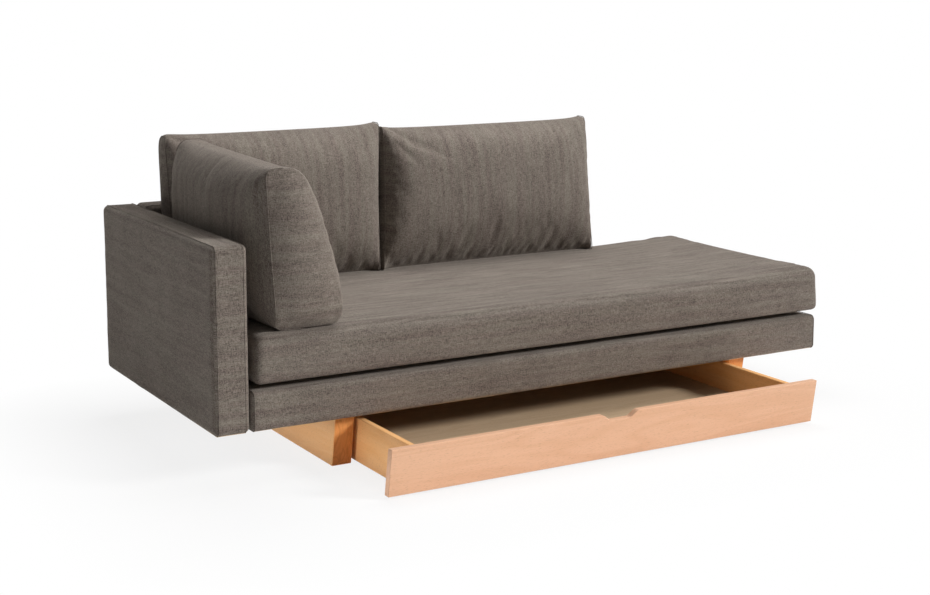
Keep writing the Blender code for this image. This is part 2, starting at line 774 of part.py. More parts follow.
def make_mattress(seat):
    """A boxed pad: drawn-in foot, rounded top edge, crowned top, hollow below."""
    low = (SEAT_END_CLEARANCE, 0, SEAT_BOTTOM)
    high = (SEAT_LENGTH, SEAT_UNIT_DEPTH, SEAT_TOP)
    corner = MATTRESS_CORNER_RADIUS
    edge = MATTRESS_EDGE_RADIUS
    shoulder = SEAT_TOP - MATTRESS_CROWN
    recess_corner = INNER_RADIUS
    rings = [
        inset_ring(low, high, MATTRESS_WALL, recess_corner, SEAT_DECK_TOP + FIT),
        inset_ring(low, high, MATTRESS_WALL, recess_corner, SEAT_BOTTOM),
        inset_ring(low, high, MATTRESS_DRAW_IN, corner, SEAT_BOTTOM),
        inset_ring(low, high, 0, corner, (SEAT_BOTTOM + shoulder - edge) / 2),
        inset_ring(low, high, MATTRESS_DRAW_IN / 2, corner, shoulder - edge),
    ]
    for step in range(1, CORNER_STEPS + 1):
        angle = math.radians(90 * step / CORNER_STEPS)
        inset = MATTRESS_DRAW_IN / 2 + edge * (1 - math.cos(angle))
        height = shoulder - edge * (1 - math.sin(angle))
        rings.append(inset_ring(low, high, inset, corner, height))
    rings.append(inset_ring(low, high, MATTRESS_CROWN_REACH, corner, SEAT_TOP))
    form = bmesh.new()
    add_loft(form, rings)
    make_piece("seat_mattress", form, FABRIC, seat, smooth_angle=math.radians(50))


def leg_length():
    return LEG_PIVOT_HEIGHT - LEG_FLOOR_CLEARANCE


def leg_pivots():
    """Where the legs turn, and which way along X they lie when folded."""
    return (
        ("left", SEAT_END_CLEARANCE + LEG_PIVOT_INSET, 1),
        ("right", SEAT_LENGTH - LEG_PIVOT_INSET, -1),
    )


def make_legs(seat, leg_empties):
    for side, place, along in leg_pivots():
        pivot = (place, LEG_FRONT + LEG_THICKNESS / 2, LEG_PIVOT_HEIGHT)
        make_leg(side, pivot, along, leg_empties[side])
        steps = [
            (-LEG_THICKNESS / 2 - FIT - PIN_HEAD_THICKNESS, PIN_HEAD_DIAMETER / 2),
            (-LEG_THICKNESS / 2 - FIT, PIN_HEAD_DIAMETER / 2),
            (-LEG_THICKNESS / 2 - FIT, PIN_DIAMETER / 2),
            (SEAT_FRAME_FRONT - pivot[1] - FIT, PIN_DIAMETER / 2),
        ]
        pin = bmesh.new()
        add_rod(pin, pivot, 1, steps, PIN_SEGMENTS)
        make_piece("leg_pin_" + side, pin, STEEL, seat, smooth_angle=math.radians(40))


def make_leg(side, pivot, along, parent):
    """A flat steel bar, round at the pivot, with a rubber foot at its far end."""
    half = LEG_WIDTH / 2
    bar_end = leg_length() - FOOT_WALL - FIT
    outline = [(bar_end * along, -half)]
    for step in range(PIN_SEGMENTS // 2 + 1):
        angle = math.pi / 2 + 2 * math.pi * step / PIN_SEGMENTS
        outline.append((half * math.cos(angle) * along, -half * math.sin(angle)))
    outline.append((bar_end * along, half))
    form = bmesh.new()
    placed = [(pivot[0] + x, pivot[2] + z) for x, z in outline]
    add_prism(form, placed, 1, LEG_FRONT, LEG_FRONT + LEG_THICKNESS)
    bar = make_piece("leg_" + side, form, BLACK_STEEL, parent, origin=pivot)
    hole = bmesh.new()
    hole_radius = PIN_DIAMETER / 2 + RUNNING_CLEARANCE
    reach = LEG_THICKNESS / 2 + CUT_OVERRUN
    add_rod(hole, pivot, 1, [(-reach, hole_radius), (reach, hole_radius)], PIN_SEGMENTS)
    combine(bar, "leg_hole_" + side, hole, parent, "DIFFERENCE", pivot)

    start = leg_length() - FOOT_HEIGHT
    sleeve = half + FIT + FOOT_WALL
    inner = half + FIT
    inner_end = leg_length() - FOOT_WALL
    section = [
        (start, -sleeve),
        (leg_length(), -sleeve),
        (leg_length(), sleeve),
        (start, sleeve),
        (start, inner),
        (inner_end, inner),
        (inner_end, -inner),
        (start, -inner),
    ]
    foot = bmesh.new()
    placed = [(pivot[0] + x * along, pivot[2] + z) for x, z in section]
    add_prism(foot, placed, 1, LEG_FRONT, LEG_FRONT + LEG_THICKNESS)
    make_piece("leg_foot_" + side, foot, RUBBER, parent, origin=pivot)


def combine(piece, name, form, parent, operation, origin=(0, 0, 0)):
    """Cut a piece with, or join it to, a hidden helper shape."""
    helper = make_piece(name, form, STEEL, parent, origin=origin)
    helper.hide_render = True
    helper.display_type = "WIRE"
    change = piece.modifiers.new(name, "BOOLEAN")
    change.operation = operation
    change.solver = "EXACT"
    change.object = helper


def notch_line():
    """The top edge of the drawer front with its finger notch, right to left."""
    top = DRAWER_FRONT_TOP
    half = NOTCH_WIDTH / 2
    ramp = (NOTCH_WIDTH - NOTCH_FLAT) / 2
    points = []
    for step in range(NOTCH_STEPS + 1):
        share = step / NOTCH_STEPS
        drop = NOTCH_DEPTH * (1 - math.cos(math.pi * share)) / 2
        points.append((MIDDLE + half - ramp * share, top - drop))
    mirror = [(2 * MIDDLE - x, z) for x, z in reversed(points)]
    return points + mirror


def make_drawer_front(drawer):
    left = BOARD_INSET
    right = SEAT_LENGTH - BOARD_INSET
    outline = [(left, DRAWER_FRONT_BOTTOM), (right, DRAWER_FRONT_BOTTOM), (right, DRAWER_FRONT_TOP)]
    outline += notch_line()
    outline.append((left, DRAWER_FRONT_TOP))
    form = bmesh.new()
    add_prism(form, outline, 1, DRAWER_FACE, DRAWER_FACE + SLANTED_THICKNESS)
    for vertex in form.verts:
        vertex.co.y += FRONT_SLANT_SHARE * (DRAWER_FRONT_TOP - vertex.co.z)
    piece = make_piece("drawer_front", form, BEECH, drawer)
    add_rounding(piece, DRAWER_EDGE_RADIUS)


def slanted_board(name, left, right, bottom, top, rear, finish, drawer):
    """A drawer board along Y whose front end follows the slanted front."""
    outline = [
        (drawer_line(bottom), bottom),
        (rear, bottom),
        (rear, top),
        (drawer_line(top), top),
    ]
    form = bmesh.new()
    add_prism(form, outline, 0, left, right)
    return make_piece(name, form, finish, drawer)


def make_drawer_side(side, start, end, inward, drawer):
    """A side board with the groove that the drawer's floor slides into."""
    piece = slanted_board(
        "drawer_side_" + side,
        start,
        end,
        DRAWER_SIDE_BOTTOM,
        DRAWER_SIDE_TOP,
        DRAWER_REAR,
        BEECH,
        drawer,
    )
    add_rounding(piece, DRAWER_EDGE_RADIUS)
    inner = end if inward > 0 else start
    edges = sorted((inner - inward * GROOVE_DEPTH, inner + inward * CUT_OVERRUN))
    groove = bmesh.new()
    groove_low = (edges[0], DRAWER_FACE, DRAWER_FLOOR_BOTTOM - FIT)
    groove_top = DRAWER_FLOOR_BOTTOM + DRAWER_BOTTOM_THICKNESS + FIT
    add_box(groove, groove_low, (edges[1], DRAWER_REAR + CUT_OVERRUN, groove_top))
    combine(piece, "drawer_groove_" + side, groove, drawer, "DIFFERENCE")


def make_drawer(root, drawer):
    make_drawer_front(drawer)
    make_drawer_side("left", DRAWER_SIDE, DRAWER_INNER, 1, drawer)
    make_drawer_side("right", SEAT_LENGTH - DRAWER_INNER, SEAT_LENGTH - DRAWER_SIDE, -1, drawer)
    left = DRAWER_INNER + FIT
    back_front = DRAWER_REAR - DRAWER_SIDE_THICKNESS
    back_low = (left, back_front, DRAWER_SIDE_BOTTOM)
    back_high = (SEAT_LENGTH - left, DRAWER_REAR, DRAWER_BACK_TOP)
    board("drawer_back", back_low, back_high, BEECH, drawer)
    floor_left = left - GROOVE_DEPTH
    floor_rear = back_front - FIT
    floor_low = (floor_left, drawer_line(DRAWER_FLOOR_BOTTOM), DRAWER_FLOOR_BOTTOM)
    floor_top = DRAWER_FLOOR_BOTTOM + DRAWER_BOTTOM_THICKNESS
    board("drawer_bottom", floor_low, (SEAT_LENGTH - floor_left, floor_rear, floor_top), PLYWOOD, drawer)
    muntin_left = MIDDLE - MUNTIN_WIDTH / 2
    muntin_right = MIDDLE + MUNTIN_WIDTH / 2
    under = DRAWER_FLOOR_BOTTOM - FIT
    slanted_board(
        "drawer_muntin", muntin_left, muntin_right, MUNTIN_FOOT, under, floor_rear, PALE_WOOD, drawer
    )
    guide_low = (BOARD_INSET + BOARD_THICKNESS + FIT, front_line(0) + GUIDE_FRONT_SETBACK, GUIDE_FOOT)
    guide_high = (
        DRAWER_SIDE - RUNNING_CLEARANCE,
        BOARD_REAR - PLINTH_RAIL_THICKNESS - FIT,
        GUIDE_FOOT + GUIDE_HEIGHT,
    )
    board("drawer_guide_left", guide_low, guide_high, BEECH, root)
    board("drawer_guide_right", *mirrored(guide_low, guide_high), BEECH, root)


def castor_places():
    """Middle of each wheel: name, x, y."""
    left = DRAWER_INNER + CASTOR_FLANGE + CASTOR_HALF + CASTOR_SIDE_GAP
    right = SEAT_LENGTH - left
    front = drawer_line(0) + CASTOR_END_INSET
    rear = DRAWER_REAR - DRAWER_SIDE_THICKNESS - CASTOR_END_INSET
    return (
        ("front_left", left, front),
        ("front_right", right, front),
        ("rear_left", left, rear),
        ("rear_right", right, rear),
    )


def make_castors(drawer, wheel_empties):
    """Fixed castors: a folded steel fork with its riveted axle, and a wheel."""
    inner = CASTOR_HALF - CASTOR_PLATE
    outer = CASTOR_HALF
    flange = CASTOR_HALF + CASTOR_FLANGE
    roof = CASTOR_TOP - CASTOR_PLATE
    foot = CASTOR_AXLE_HEIGHT - CASTOR_DROP
    section = [
        (-flange, CASTOR_TOP),
        (-flange, roof),
        (-outer, roof),
        (-outer, foot),
        (-inner, foot),
        (-inner, roof),
        (inner, roof),
        (inner, foot),
        (outer, foot),
        (outer, roof),
        (flange, roof),
        (flange, CASTOR_TOP),
    ]
    reach = outer + AXLE_HEAD_THICKNESS
    for name, x, y in castor_places():
        centre = (x, y, CASTOR_AXLE_HEIGHT)
        placed = [(x + across, z) for across, z in section]
        form = bmesh.new()
        add_prism(form, placed, 1, y - CASTOR_LENGTH / 2, y + CASTOR_LENGTH / 2)
        fork = make_piece("castor_fork_" + name, form, STEEL, drawer)
        axle = bmesh.new()
        add_rod(axle, centre, 0, [(-reach, AXLE_RADIUS), (reach, AXLE_RADIUS)], PIN_SEGMENTS)
        combine(fork, "castor_axle_" + name, axle, drawer, "UNION")
        make_wheel(name, centre, wheel_empties[name])


def make_wheel(name, centre, parent):
    half = WHEEL_WIDTH / 2
    hub = (WHEEL_BORE_RADIUS + WHEEL_RADIUS) / 2
    step = WHEEL_HUB_STEP
    profile = [
        (-half, WHEEL_BORE_RADIUS),
        (half, WHEEL_BORE_RADIUS),
        (half, hub - step),
        (half - step, hub),
        (half - step, WHEEL_RADIUS - WHEEL_CHAMFER),
        (half - WHEEL_CHAMFER, WHEEL_RADIUS),
        (WHEEL_CHAMFER - half, WHEEL_RADIUS),
        (step - half, WHEEL_RADIUS - WHEEL_CHAMFER),
        (step - half, hub),
        (-half, hub - step),
    ]
    form = bmesh.new()
    add_turned(form, centre, 0, profile, WHEEL_SEGMENTS)
    make_piece("castor_wheel_" + name, form, NYLON, parent, origin=centre, smooth_angle=math.radians(40))


def fullness(share):
    """How full a cushion is across itself: 0 at both seams, 1 in the middle."""
    return 1 - abs(share) ** CROWN_POWER_SHARE


def add_cushion(form, length, height, sag, edges, crowns, tucks, end_puff, place):
    """A boxed cushion. edges gives both faces' depths at a height share.

    Along, high and deep are the cushion's own directions: place turns them
    into a point of the sofa. The two faces are grids, and the boxing between
    them has one middle line that puffs out. Between its ends a face swells by
    its crown, and its foot is tucked in where it rests on the seat.
    """
    long_steps = CUSHION_LONG_STEPS
    high_steps = CUSHION_HIGH_STEPS

    def outline(u, v):
        rise = (v + 1) / 2
        along = u * (length / 2 - CUSHION_DRAW_IN * (1 - abs(v) ** SIDE_FADE_SHARE))
        dip = sag * (1 - abs(u) ** SAG_POWER_SHARE) * rise**SAG_FADE_SHARE
        return along, height * rise - dip

    def face_point(u, v, face):
        along, high = outline(u, v)
        bulge = crowns[face] * fullness(u) * fullness(v)
        bulge -= tucks[face] * fullness(u) * ((1 - v) / 2) ** TUCK_POWER_SHARE
        near, far = edges((v + 1) / 2)
        depth = near - bulge if face == 0 else far + bulge
        return place(along, high, depth)

    grids = []
    for face in (0, 1):
        grid = []
        for row in range(high_steps + 1):
            v = 2 * row / high_steps - 1
            line = [2 * column / long_steps - 1 for column in range(long_steps + 1)]
            grid.append([form.verts.new(face_point(u, v, face)) for u in line])
        grids.append(grid)

    border = [(0, column) for column in range(long_steps)]
    border += [(row, long_steps) for row in range(high_steps)]
    border += [(high_steps, column) for column in range(long_steps, 0, -1)]
    border += [(row, 0) for row in range(high_steps, 0, -1)]
    middle = []
    for row, column in border:
        u = 2 * column / long_steps - 1
        v = 2 * row / high_steps - 1
        along, high = outline(u, v)
        if abs(u) == 1:
            along += end_puff * u * fullness(v)
        if v == 1:
            high += CUSHION_BOX_PUFF * fullness(u)
        near, far = edges((v + 1) / 2)
        middle.append(form.verts.new(place(along, high, (near + far) / 2)))

    for face, grid in enumerate(grids):
        for row in range(high_steps):
            for column in range(long_steps):
                quad = [
                    grid[row][column],
                    grid[row][column + 1],
                    grid[row + 1][column + 1],
                    grid[row + 1][column],
                ]
                form.faces.new(quad if face == 0 else quad[::-1])
        count = len(border)
        for index in range(count):
            following = (index + 1) % count
            here = grid[border[index][0]][border[index][1]]
            there = grid[border[following][0]][border[following][1]]
            form.faces.new((here, there, middle[following], middle[index]))


def make_back_cushions(holders):
    """Two wedges. Their rear faces lie on a line that leans on the back panel.

    The ends where they meet both lean to the right, so the gap stays even.
    """
    foot_rear = SEAT_DEPTH - BACK_CUSHION_FOOT_GAP
    touch = SEAT_DEPTH - LEAN_CLEARANCE
    lean = (touch - foot_rear) / (PANEL_TOP - CUSHION_FOOT_HEIGHT)
    names = ("back_cushion_left", "back_cushion_right")
    sizes = zip(BACK_CUSHION_STARTS, BACK_CUSHION_LENGTHS, BACK_CUSHION_HEIGHTS, BACK_CUSHION_SAGS)
    for name, meeting_end, (start, length, height, sag) in zip(names, (1, -1), sizes):
        centre = start + length / 2

        def edges(rise):
            thickness = BACK_CUSHION_FOOT + (BACK_CUSHION_HEAD - BACK_CUSHION_FOOT) * rise
            return -thickness, 0

        def place(along, high, depth):
            nearness = 1 / 2 + meeting_end * along / length
            across = centre + along + BACK_CUSHION_END_LEAN * nearness * high / height
            return (across, foot_rear + lean * high + depth, CUSHION_FOOT_HEIGHT + high)

        form = bmesh.new()
        add_cushion(
            form,
            length,
            height,
            sag,
            edges,
            (BACK_CUSHION_CROWN, 0),
            (CUSHION_TUCK, 0),
            CUSHION_BOX_PUFF,
            place,
        )
        make_piece(name, form, FABRIC, holders[name], smooth_angle=math.radians(35))


def make_side_cushion(holder):
    """A plump wedge along the arm: its outer face swells until it meets the arm."""
    centre = SIDE_CUSHION_FRONT + SIDE_CUSHION_LENGTH / 2
    middle_start = (SIDE_CUSHION_FOOT_START + SIDE_CUSHION_HEAD_START) / 2
    touch_start = middle_start - SIDE_CUSHION_TURN * TOUCH_PLACE_SHARE
    arm_crown = touch_start - ARM_TOUCH_CLEARANCE

    def edges(rise):
        near = SIDE_CUSHION_FOOT_START + (SIDE_CUSHION_HEAD_START - SIDE_CUSHION_FOOT_START) * rise
        thickness = SIDE_CUSHION_FOOT + (SIDE_CUSHION_HEAD - SIDE_CUSHION_FOOT) * rise
        return near, near + thickness + SIDE_CUSHION_BOW * fullness(2 * rise - 1)

    def place(along, high, depth):
        rearward = (along + SIDE_CUSHION_LENGTH / 2) / SIDE_CUSHION_LENGTH
        rise = high / SIDE_CUSHION_HEIGHT
        lift = SIDE_CUSHION_REAR_RISE * rearward * rise
        head_change = (SIDE_CUSHION_HEAD_TURN - SIDE_CUSHION_TURN) * rise**TURN_POWER_SHARE
        across = depth - (SIDE_CUSHION_TURN + head_change) * rearward
        return (across, centre + along, CUSHION_FOOT_HEIGHT + high + lift)

    form = bmesh.new()
    add_cushion(
        form,
        SIDE_CUSHION_LENGTH,
        SIDE_CUSHION_HEIGHT,
        SIDE_CUSHION_SAG,
        edges,
        (arm_crown, SIDE_CUSHION_CROWN),
        (0, SIDE_CUSHION_TUCK),
        SIDE_CUSHION_END_PUFF,
        place,
    )
    make_piece("side_cushion", form, FABRIC, holder, smooth_angle=math.radians(35))


def place_holder(name, place, parent):
    """An empty on a joint's axis, with its place in the sofa's frame."""
    offset = [value - base for value, base in zip(place, parent["place"])]
    return {"empty": make_empty(name, offset, parent["empty"]), "place": place}


def build():
    clear_scene()
    shift_x = (SEAT_LENGTH - PANEL_THICKNESS) / 2
    shift_y = (BODY_DEPTH + DRAWER_FACE) / 2
    root = {"empty": make_empty("sofa_frame", (-shift_x, -shift_y, 0)), "place": (0, 0, 0)}
    seat = place_holder("seat_slide_axis", (MIDDLE, 0, SEAT_BOTTOM), root)
    drawer = place_holder("drawer_slide_axis", (MIDDLE, DRAWER_FACE, DRAWER_SIDE_BOTTOM), root)

    make_plinth(root)
    make_base(root)
    make_slides(root)
    make_arm(root)
    make_back(root)
    make_seat_frame(seat)
    make_mattress(seat)

    leg_empties = {}
    for side, place, _ in leg_pivots():
        pivot = (place, LEG_FRONT + LEG_THICKNESS / 2, LEG_PIVOT_HEIGHT)
        leg_empties[side] = place_holder("leg_axis_" + side, pivot, seat)
    make_legs(seat, leg_empties)

    make_drawer(root, drawer)
    wheel_empties = {}
    for name, x, y in castor_places():
        centre = (x, y, CASTOR_AXLE_HEIGHT)
        wheel_empties[name] = place_holder("wheel_axis_" + name, centre, drawer)
    make_castors(drawer, wheel_empties)

    holders = {}
    for name, start, length in zip(
        ("back_cushion_left", "back_cushion_right"), BACK_CUSHION_STARTS, BACK_CUSHION_LENGTHS
    ):
        foot = (start + length / 2, SEAT_DEPTH - BACK_CUSHION_FOOT_GAP, CUSHION_FOOT_HEIGHT)
        holders[name] = place_holder(name + "_lift", foot, seat)
    make_back_cushions(holders)
    side_foot = (
        SIDE_CUSHION_FOOT_START,
        SIDE_CUSHION_FRONT + SIDE_CUSHION_LENGTH / 2,
        CUSHION_FOOT_HEIGHT,
    )
    make_side_cushion(place_holder("side_cushion_lift", side_foot, seat))


build()
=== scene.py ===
"""The looks of the sofa bed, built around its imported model.

Every soft part of the model is replaced by a detailed piece: the upholstered arm,
back and base, the mattress and three loose cushions. The covers of the mattress and
the cushions are swelled by a cloth simulation. The wooden, metal and plastic parts
keep their shape and get a grained or worn finish. All places are in metres, in the
model's own frame.
"""

import json
import math
from collections import namedtuple

import bmesh
import bpy
import numpy as np
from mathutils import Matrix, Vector

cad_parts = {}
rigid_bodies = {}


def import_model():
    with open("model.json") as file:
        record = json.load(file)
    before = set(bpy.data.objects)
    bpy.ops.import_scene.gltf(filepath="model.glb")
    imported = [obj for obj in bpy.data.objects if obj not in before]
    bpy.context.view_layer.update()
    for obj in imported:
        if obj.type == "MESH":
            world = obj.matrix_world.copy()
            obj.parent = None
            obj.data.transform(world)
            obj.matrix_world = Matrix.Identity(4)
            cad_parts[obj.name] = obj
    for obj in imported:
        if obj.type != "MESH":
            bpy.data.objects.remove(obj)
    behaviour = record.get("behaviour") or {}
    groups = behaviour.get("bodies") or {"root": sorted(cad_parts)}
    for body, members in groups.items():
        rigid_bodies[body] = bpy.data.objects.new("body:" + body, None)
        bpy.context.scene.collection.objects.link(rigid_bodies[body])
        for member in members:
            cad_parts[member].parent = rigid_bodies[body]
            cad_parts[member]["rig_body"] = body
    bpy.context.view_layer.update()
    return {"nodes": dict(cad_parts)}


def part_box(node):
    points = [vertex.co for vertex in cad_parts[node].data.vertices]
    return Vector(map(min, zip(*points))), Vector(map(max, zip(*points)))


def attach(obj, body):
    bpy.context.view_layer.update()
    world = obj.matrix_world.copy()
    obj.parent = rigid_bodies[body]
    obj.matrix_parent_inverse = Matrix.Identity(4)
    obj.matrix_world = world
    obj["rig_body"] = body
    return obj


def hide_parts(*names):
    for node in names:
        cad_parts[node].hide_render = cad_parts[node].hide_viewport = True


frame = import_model()
NODES = frame["nodes"]

# Camera: the photograph's station point, fitted to the corners of the frame
CAMERA_PLACE = (-2.5651, -4.2387, 1.3750)
CAMERA_YAW = math.radians(30.11)
CAMERA_PITCH = math.radians(7.984)
CAMERA_LENS = 62.56
CAMERA_SHIFT = -0.1048
CAMERA_REACH = 60.0

# Light. Each lamp has a place, a target, a size, a power in watts and a spread.
SKY_LIGHT = 0.17
KEY_TOWARD = (4.4, -4.2, 3.2)
KEY_ANGLE = math.radians(14)
KEY_STRENGTH = 2.80
FLOOR_BEAM = math.radians(8)
LAMPS = {
    "top": ((0.6, 0.4, 3.4), (0.1, 0.0, 0.3), (3.0, 1.6), 70.0, math.pi),
    "low": ((-2.6, 0.9, 0.30), (-0.8, 0.1, 0.15), (1.6, 0.5), 2.5, math.pi),
    "floor_strip": (
        (-2.3, -0.35, 0.055), (-0.7, -0.35, 0.055), (1.7, 0.09), 0.25, FLOOR_BEAM
    ),
}
WHITE = (1.0, 1.0, 1.0, 1.0)

# Floor: it fades to white with the distance from a box around the object.
FLOOR_COLOUR = (0.92, 0.92, 0.92, 1.0)
FLOOR_RADIUS = 9.0
FLOOR_SIDES = 96
FLOOR_HALF_SIZE = (1.05, 0.60, 0.0)
FLOOR_FADE_START = -2.40
FLOOR_FADE_END = 0.50

# Fabric: a linen-like weave of brown and beige threads
FABRIC_DARK = (0.082, 0.067, 0.057)
FABRIC_LIGHT = (0.262, 0.226, 0.193)
FABRIC_COOL = (0.990, 1.006, 0.988)
FABRIC_WARM = (1.012, 0.980, 0.988)
FABRIC_HUE_RANGE = (0.38, 0.62)
FABRIC_SURFACE = {
    "Roughness": 0.93,
    "Sheen Weight": 0.32,
    "Sheen Roughness": 0.42,
    "Sheen Tint": (0.93, 0.84, 0.75, 1.0),
    "Specular IOR Level": 0.06,
}
THREAD_PITCH = 0.0014
THREAD_BUMP = (0.55, 0.0007)
SWAY_SCALE = 22.0
SWAY_SIZE = (0.005, 0.005, 0.005)
TOP_EDGE_HOLD = 0.4

# The fabric's thread textures: repeats per metre across and along the threads,
# detail, roughness and weight in the colour
THREAD_TEXTURES = {
    "fine_warp": (900.0, 90.0, 1.0, 0.5, 0.90),
    "fine_weft": (90.0, 900.0, 1.0, 0.5, 0.80),
    "slub_warp": (520.0, 34.0, 2.0, 0.5, 0.95),
    "slub_weft": (38.0, 560.0, 2.0, 0.5, 0.70),
    "bands": (50.0, 2.8, 2.0, 0.5, 0.62),
    "pulls": (62.0, 4.5, 3.0, 0.6, 0.45),
}

# Its textures without a direction: repeats per metre, detail, roughness and weight
POINT_TEXTURES = {
    "blotch": (9.0, 2.0, 0.5, 0.30),
    "specks": (330.0, 2.0, 0.7, 1.90),
}

# How strong the pulled threads are on level faces, and the slubs on the arm
LEVEL_PULLS = 1.4
ARM_LEVEL_PULLS = 1.0
CUSHION_LEVEL_PULLS = 0.6
ARM_STREAK = 1.35

# Wood colours, pale and deep
BEECH = (0.800, 0.490, 0.320), (0.680, 0.380, 0.225)
BOARD = (0.960, 0.560, 0.250), (0.880, 0.450, 0.170)
END_GRAIN = (0.880, 0.380, 0.120), (0.600, 0.230, 0.065)
PLY = (0.640, 0.480, 0.320), (0.520, 0.370, 0.230)
PINE = (0.760, 0.600, 0.410), (0.640, 0.460, 0.280)
BEECH_ROUGHNESS = 0.42
PLY_ROUGHNESS = 0.55
PINE_ROUGHNESS = 0.6
PINE_RINGS = 0.7
WOOD_SURFACE = {"Specular IOR Level": 0.22, "Coat Weight": 0.03, "Coat Roughness": 0.35}

# Wood textures: repeats per metre along and across the grain, detail, distortion
WOOD_TEXTURES = {
    "growth": (1.3, 11.0, 3.0, 0.6),
    "fibre": (9.0, 330.0, 2.0, 0.0),
    "fleck": (95.0, 900.0, 0.0, 0.0),
    "cloud": (2.0, 5.0, 2.0, 0.0),
}
WOOD_RINGS = 46.0
WOOD_WEIGHTS = {"lines": 0.30, "fibre": 0.45, "cloud": 0.55}
WOOD_OFFSET = 0.15
WOOD_BUMP = (0.25, 0.0004)
FIBRE_RANGE = (0.2, 0.8)
FIBRE_GLOSS = (-0.06, 0.10)
FLECK_RANGE = (0.66, 0.72)
FLECK_WEIGHT = 0.35
FLECK_SHADE = 0.62
FLECK_RELIEF = 0.8

# End grain: the part of a board whose normal runs along the grain
END_FACING = 0.7
ARC_SCALES = (30.0, 30.0, 9.0)
ARC_DISTORTION = 0.8
ARC_RINGS = 38.0
ARC_WEIGHT = 0.4
PORE_SCALE = 1100.0
END_OFFSET = 0.2

# Steel
ZINC_DARK = (0.46, 0.47, 0.49)
ZINC_LIGHT = (0.64, 0.65, 0.66)
ZINC_LINES = (40.0, 900.0, 900.0)
ZINC_CLOUD_SCALE = 28.0
ZINC_RANGE = (0.7, 1.3)
ZINC_ROUGHNESS = (0.28, 0.46)
ZINC_BUMP = (0.2, 0.0002)
COAT_DARK = (0.030, 0.030, 0.033)
COAT_LIGHT = (0.055, 0.055, 0.060)
COAT_PEEL_SCALE = 900.0
COAT_CLOUD_SCALE = 20.0
COAT_ROUGHNESS = (0.42, 0.56)
COAT_BUMP = (0.35, 0.0003)
SKIN_RANGE = (0.3, 0.7)

# Moulded plastic and rubber: dark and light colour, roughness, grain
NYLON = (0.70, 0.69, 0.66), (0.80, 0.79, 0.76), 0.42, 700.0
RUBBER = (0.035, 0.035, 0.036), (0.060, 0.060, 0.060), 0.70, 900.0
MOULDED_CLOUD_SCALE = 45.0
MOULDED_GLOSS = (-0.05, 0.08)
MOULDED_BUMP = (0.25, 0.0002)

# Meshes. ASKEW is a direction that no seam runs in.
ROUND_TURNS = (45, 30, 15)
SWELL_FACE_POWER = 8
SWELL_EDGE_POWER = 6
ASKEW = (0.31, 0.17, 0.94)
SEAM_STEP = 0.02
SEAM_TURN = 15
SEAM_SIDES = 6

# Upholstered boards. A ripple has a reach and a height.
CELL = 0.011
PANEL_RADIUS = 0.017
BASE_RADIUS = 0.015
PANEL_CROWN = 0.0012
EDGE_CROWN = 0.0005
PANEL_SEAM_INSET = 0.013
BASE_SEAM_INSET = 0.009
RIPPLES = ((0.16, 0.0005), (0.05, 0.00018))
SEAM_RADIUS = 0.0012

# Cushions: the sizes of their covers, fitted to the photograph, near the solids' own.
# Each back cushion has a start, a length, a height, a sag, a corner drop and a seed.
CUSHION_FLOOR = 0.4113
BACK_CUSHIONS = {
    "back_cushion_left": (-0.903, 0.705, 0.480, 0.005, 0.010, 31),
    "back_cushion_right": (-0.182, 0.823, 0.465, 0.004, 0.0, 32),
}
BACK_END_LEAN = 0.028
BACK_FOOT = 0.124
BACK_HEAD = 0.076
BACK_CROWN = 0.040
BACK_END_SETBACK = 0.020
BACK_REAR_FOOT = 0.4994
BACK_LEAN = 0.0177
SIDE_HEIGHT = 0.448
SIDE_FRONT = -0.2826
SIDE_LENGTH = 0.623
SIDE_NEAR_FOOT = 0.092
SIDE_NEAR_HEAD = 0.064
SIDE_FOOT = 0.200
SIDE_HEAD = 0.100
SIDE_BOW = 0.024
SIDE_BOW_POWER = 2.6
SIDE_REAR_RISE = 0.024
SIDE_TURN = 0.042
SIDE_HEAD_TURN = 0.018
SIDE_TURN_POWER = 4
SIDE_SEED = 33

# Cushions: how their covers are sewn and filled. The higher a power, the nearer to an
# edge or a corner its form stays.
CUSHION_CELL = 0.0095
CUSHION_SEAM = 0.0013
CUSHION_DRAW_IN = 0.005
CUSHION_DOME = 2.6
CUSHION_MIDDLE_FOOT_RADIUS = 0.024
CROWN_POWER = 1.5
TOP_FULL_POWER = 5
FOOT_FULL_POWER = 2.4
TUCK_POWER = 2
DIP_POWER = 3
PANEL_POWER = 3
END_POWER = 8
CORNER_POWER = 30
CORNER_DROP_POWER = 6
CORNER_TUCK_POWER = 24
PLEAT_FACE_POWER = 4
PLEAT_COUNT = 60
PLEAT_DEPTH = 0.0016
PLEAT_TOP_SHARE = 0.8
PLEAT_WIDTHS = (0.007, 0.012)
PLEAT_REACHES = (0.020, 0.055)
PLEAT_LEANS = (-0.25, 0.25)
PLEAT_SIZES = (0.4, 1.0)

# Where the cushions stop: the arm, and the back panel, over whose top they lean
ARM_FACE = -0.948
ARM_GAP = 0.0014
PANEL_TOP = 0.665
PANEL_GAP = 0.0005
OVERHANG = 0.008
OVERHANG_RISE = 0.04

# Mattress
MATTRESS_CELL = 0.0125
MATTRESS_RADIUS = 0.030
MATTRESS_FOOT_RADIUS = 0.016
MATTRESS_INSET = (0.004, 0.004, 0.0)
MATTRESS_REACH = (0.011, -0.004, -0.006)
MATTRESS_CROWNS = (0.0, 0.003, 0.006)
MATTRESS_CROWN_START = 0.03
MATTRESS_HELD_HEIGHT = 0.012
MATTRESS_END_RAISE = 0.011
MATTRESS_END_LEAN = 0.008
MATTRESS_LEFT_ROOM = 0.002
MATTRESS_WALL = 0.018
MATTRESS_FOLD = 0.0005
MATTRESS_DECK_GAP = 0.0005
FLAT_TOLERANCE = 1e-6

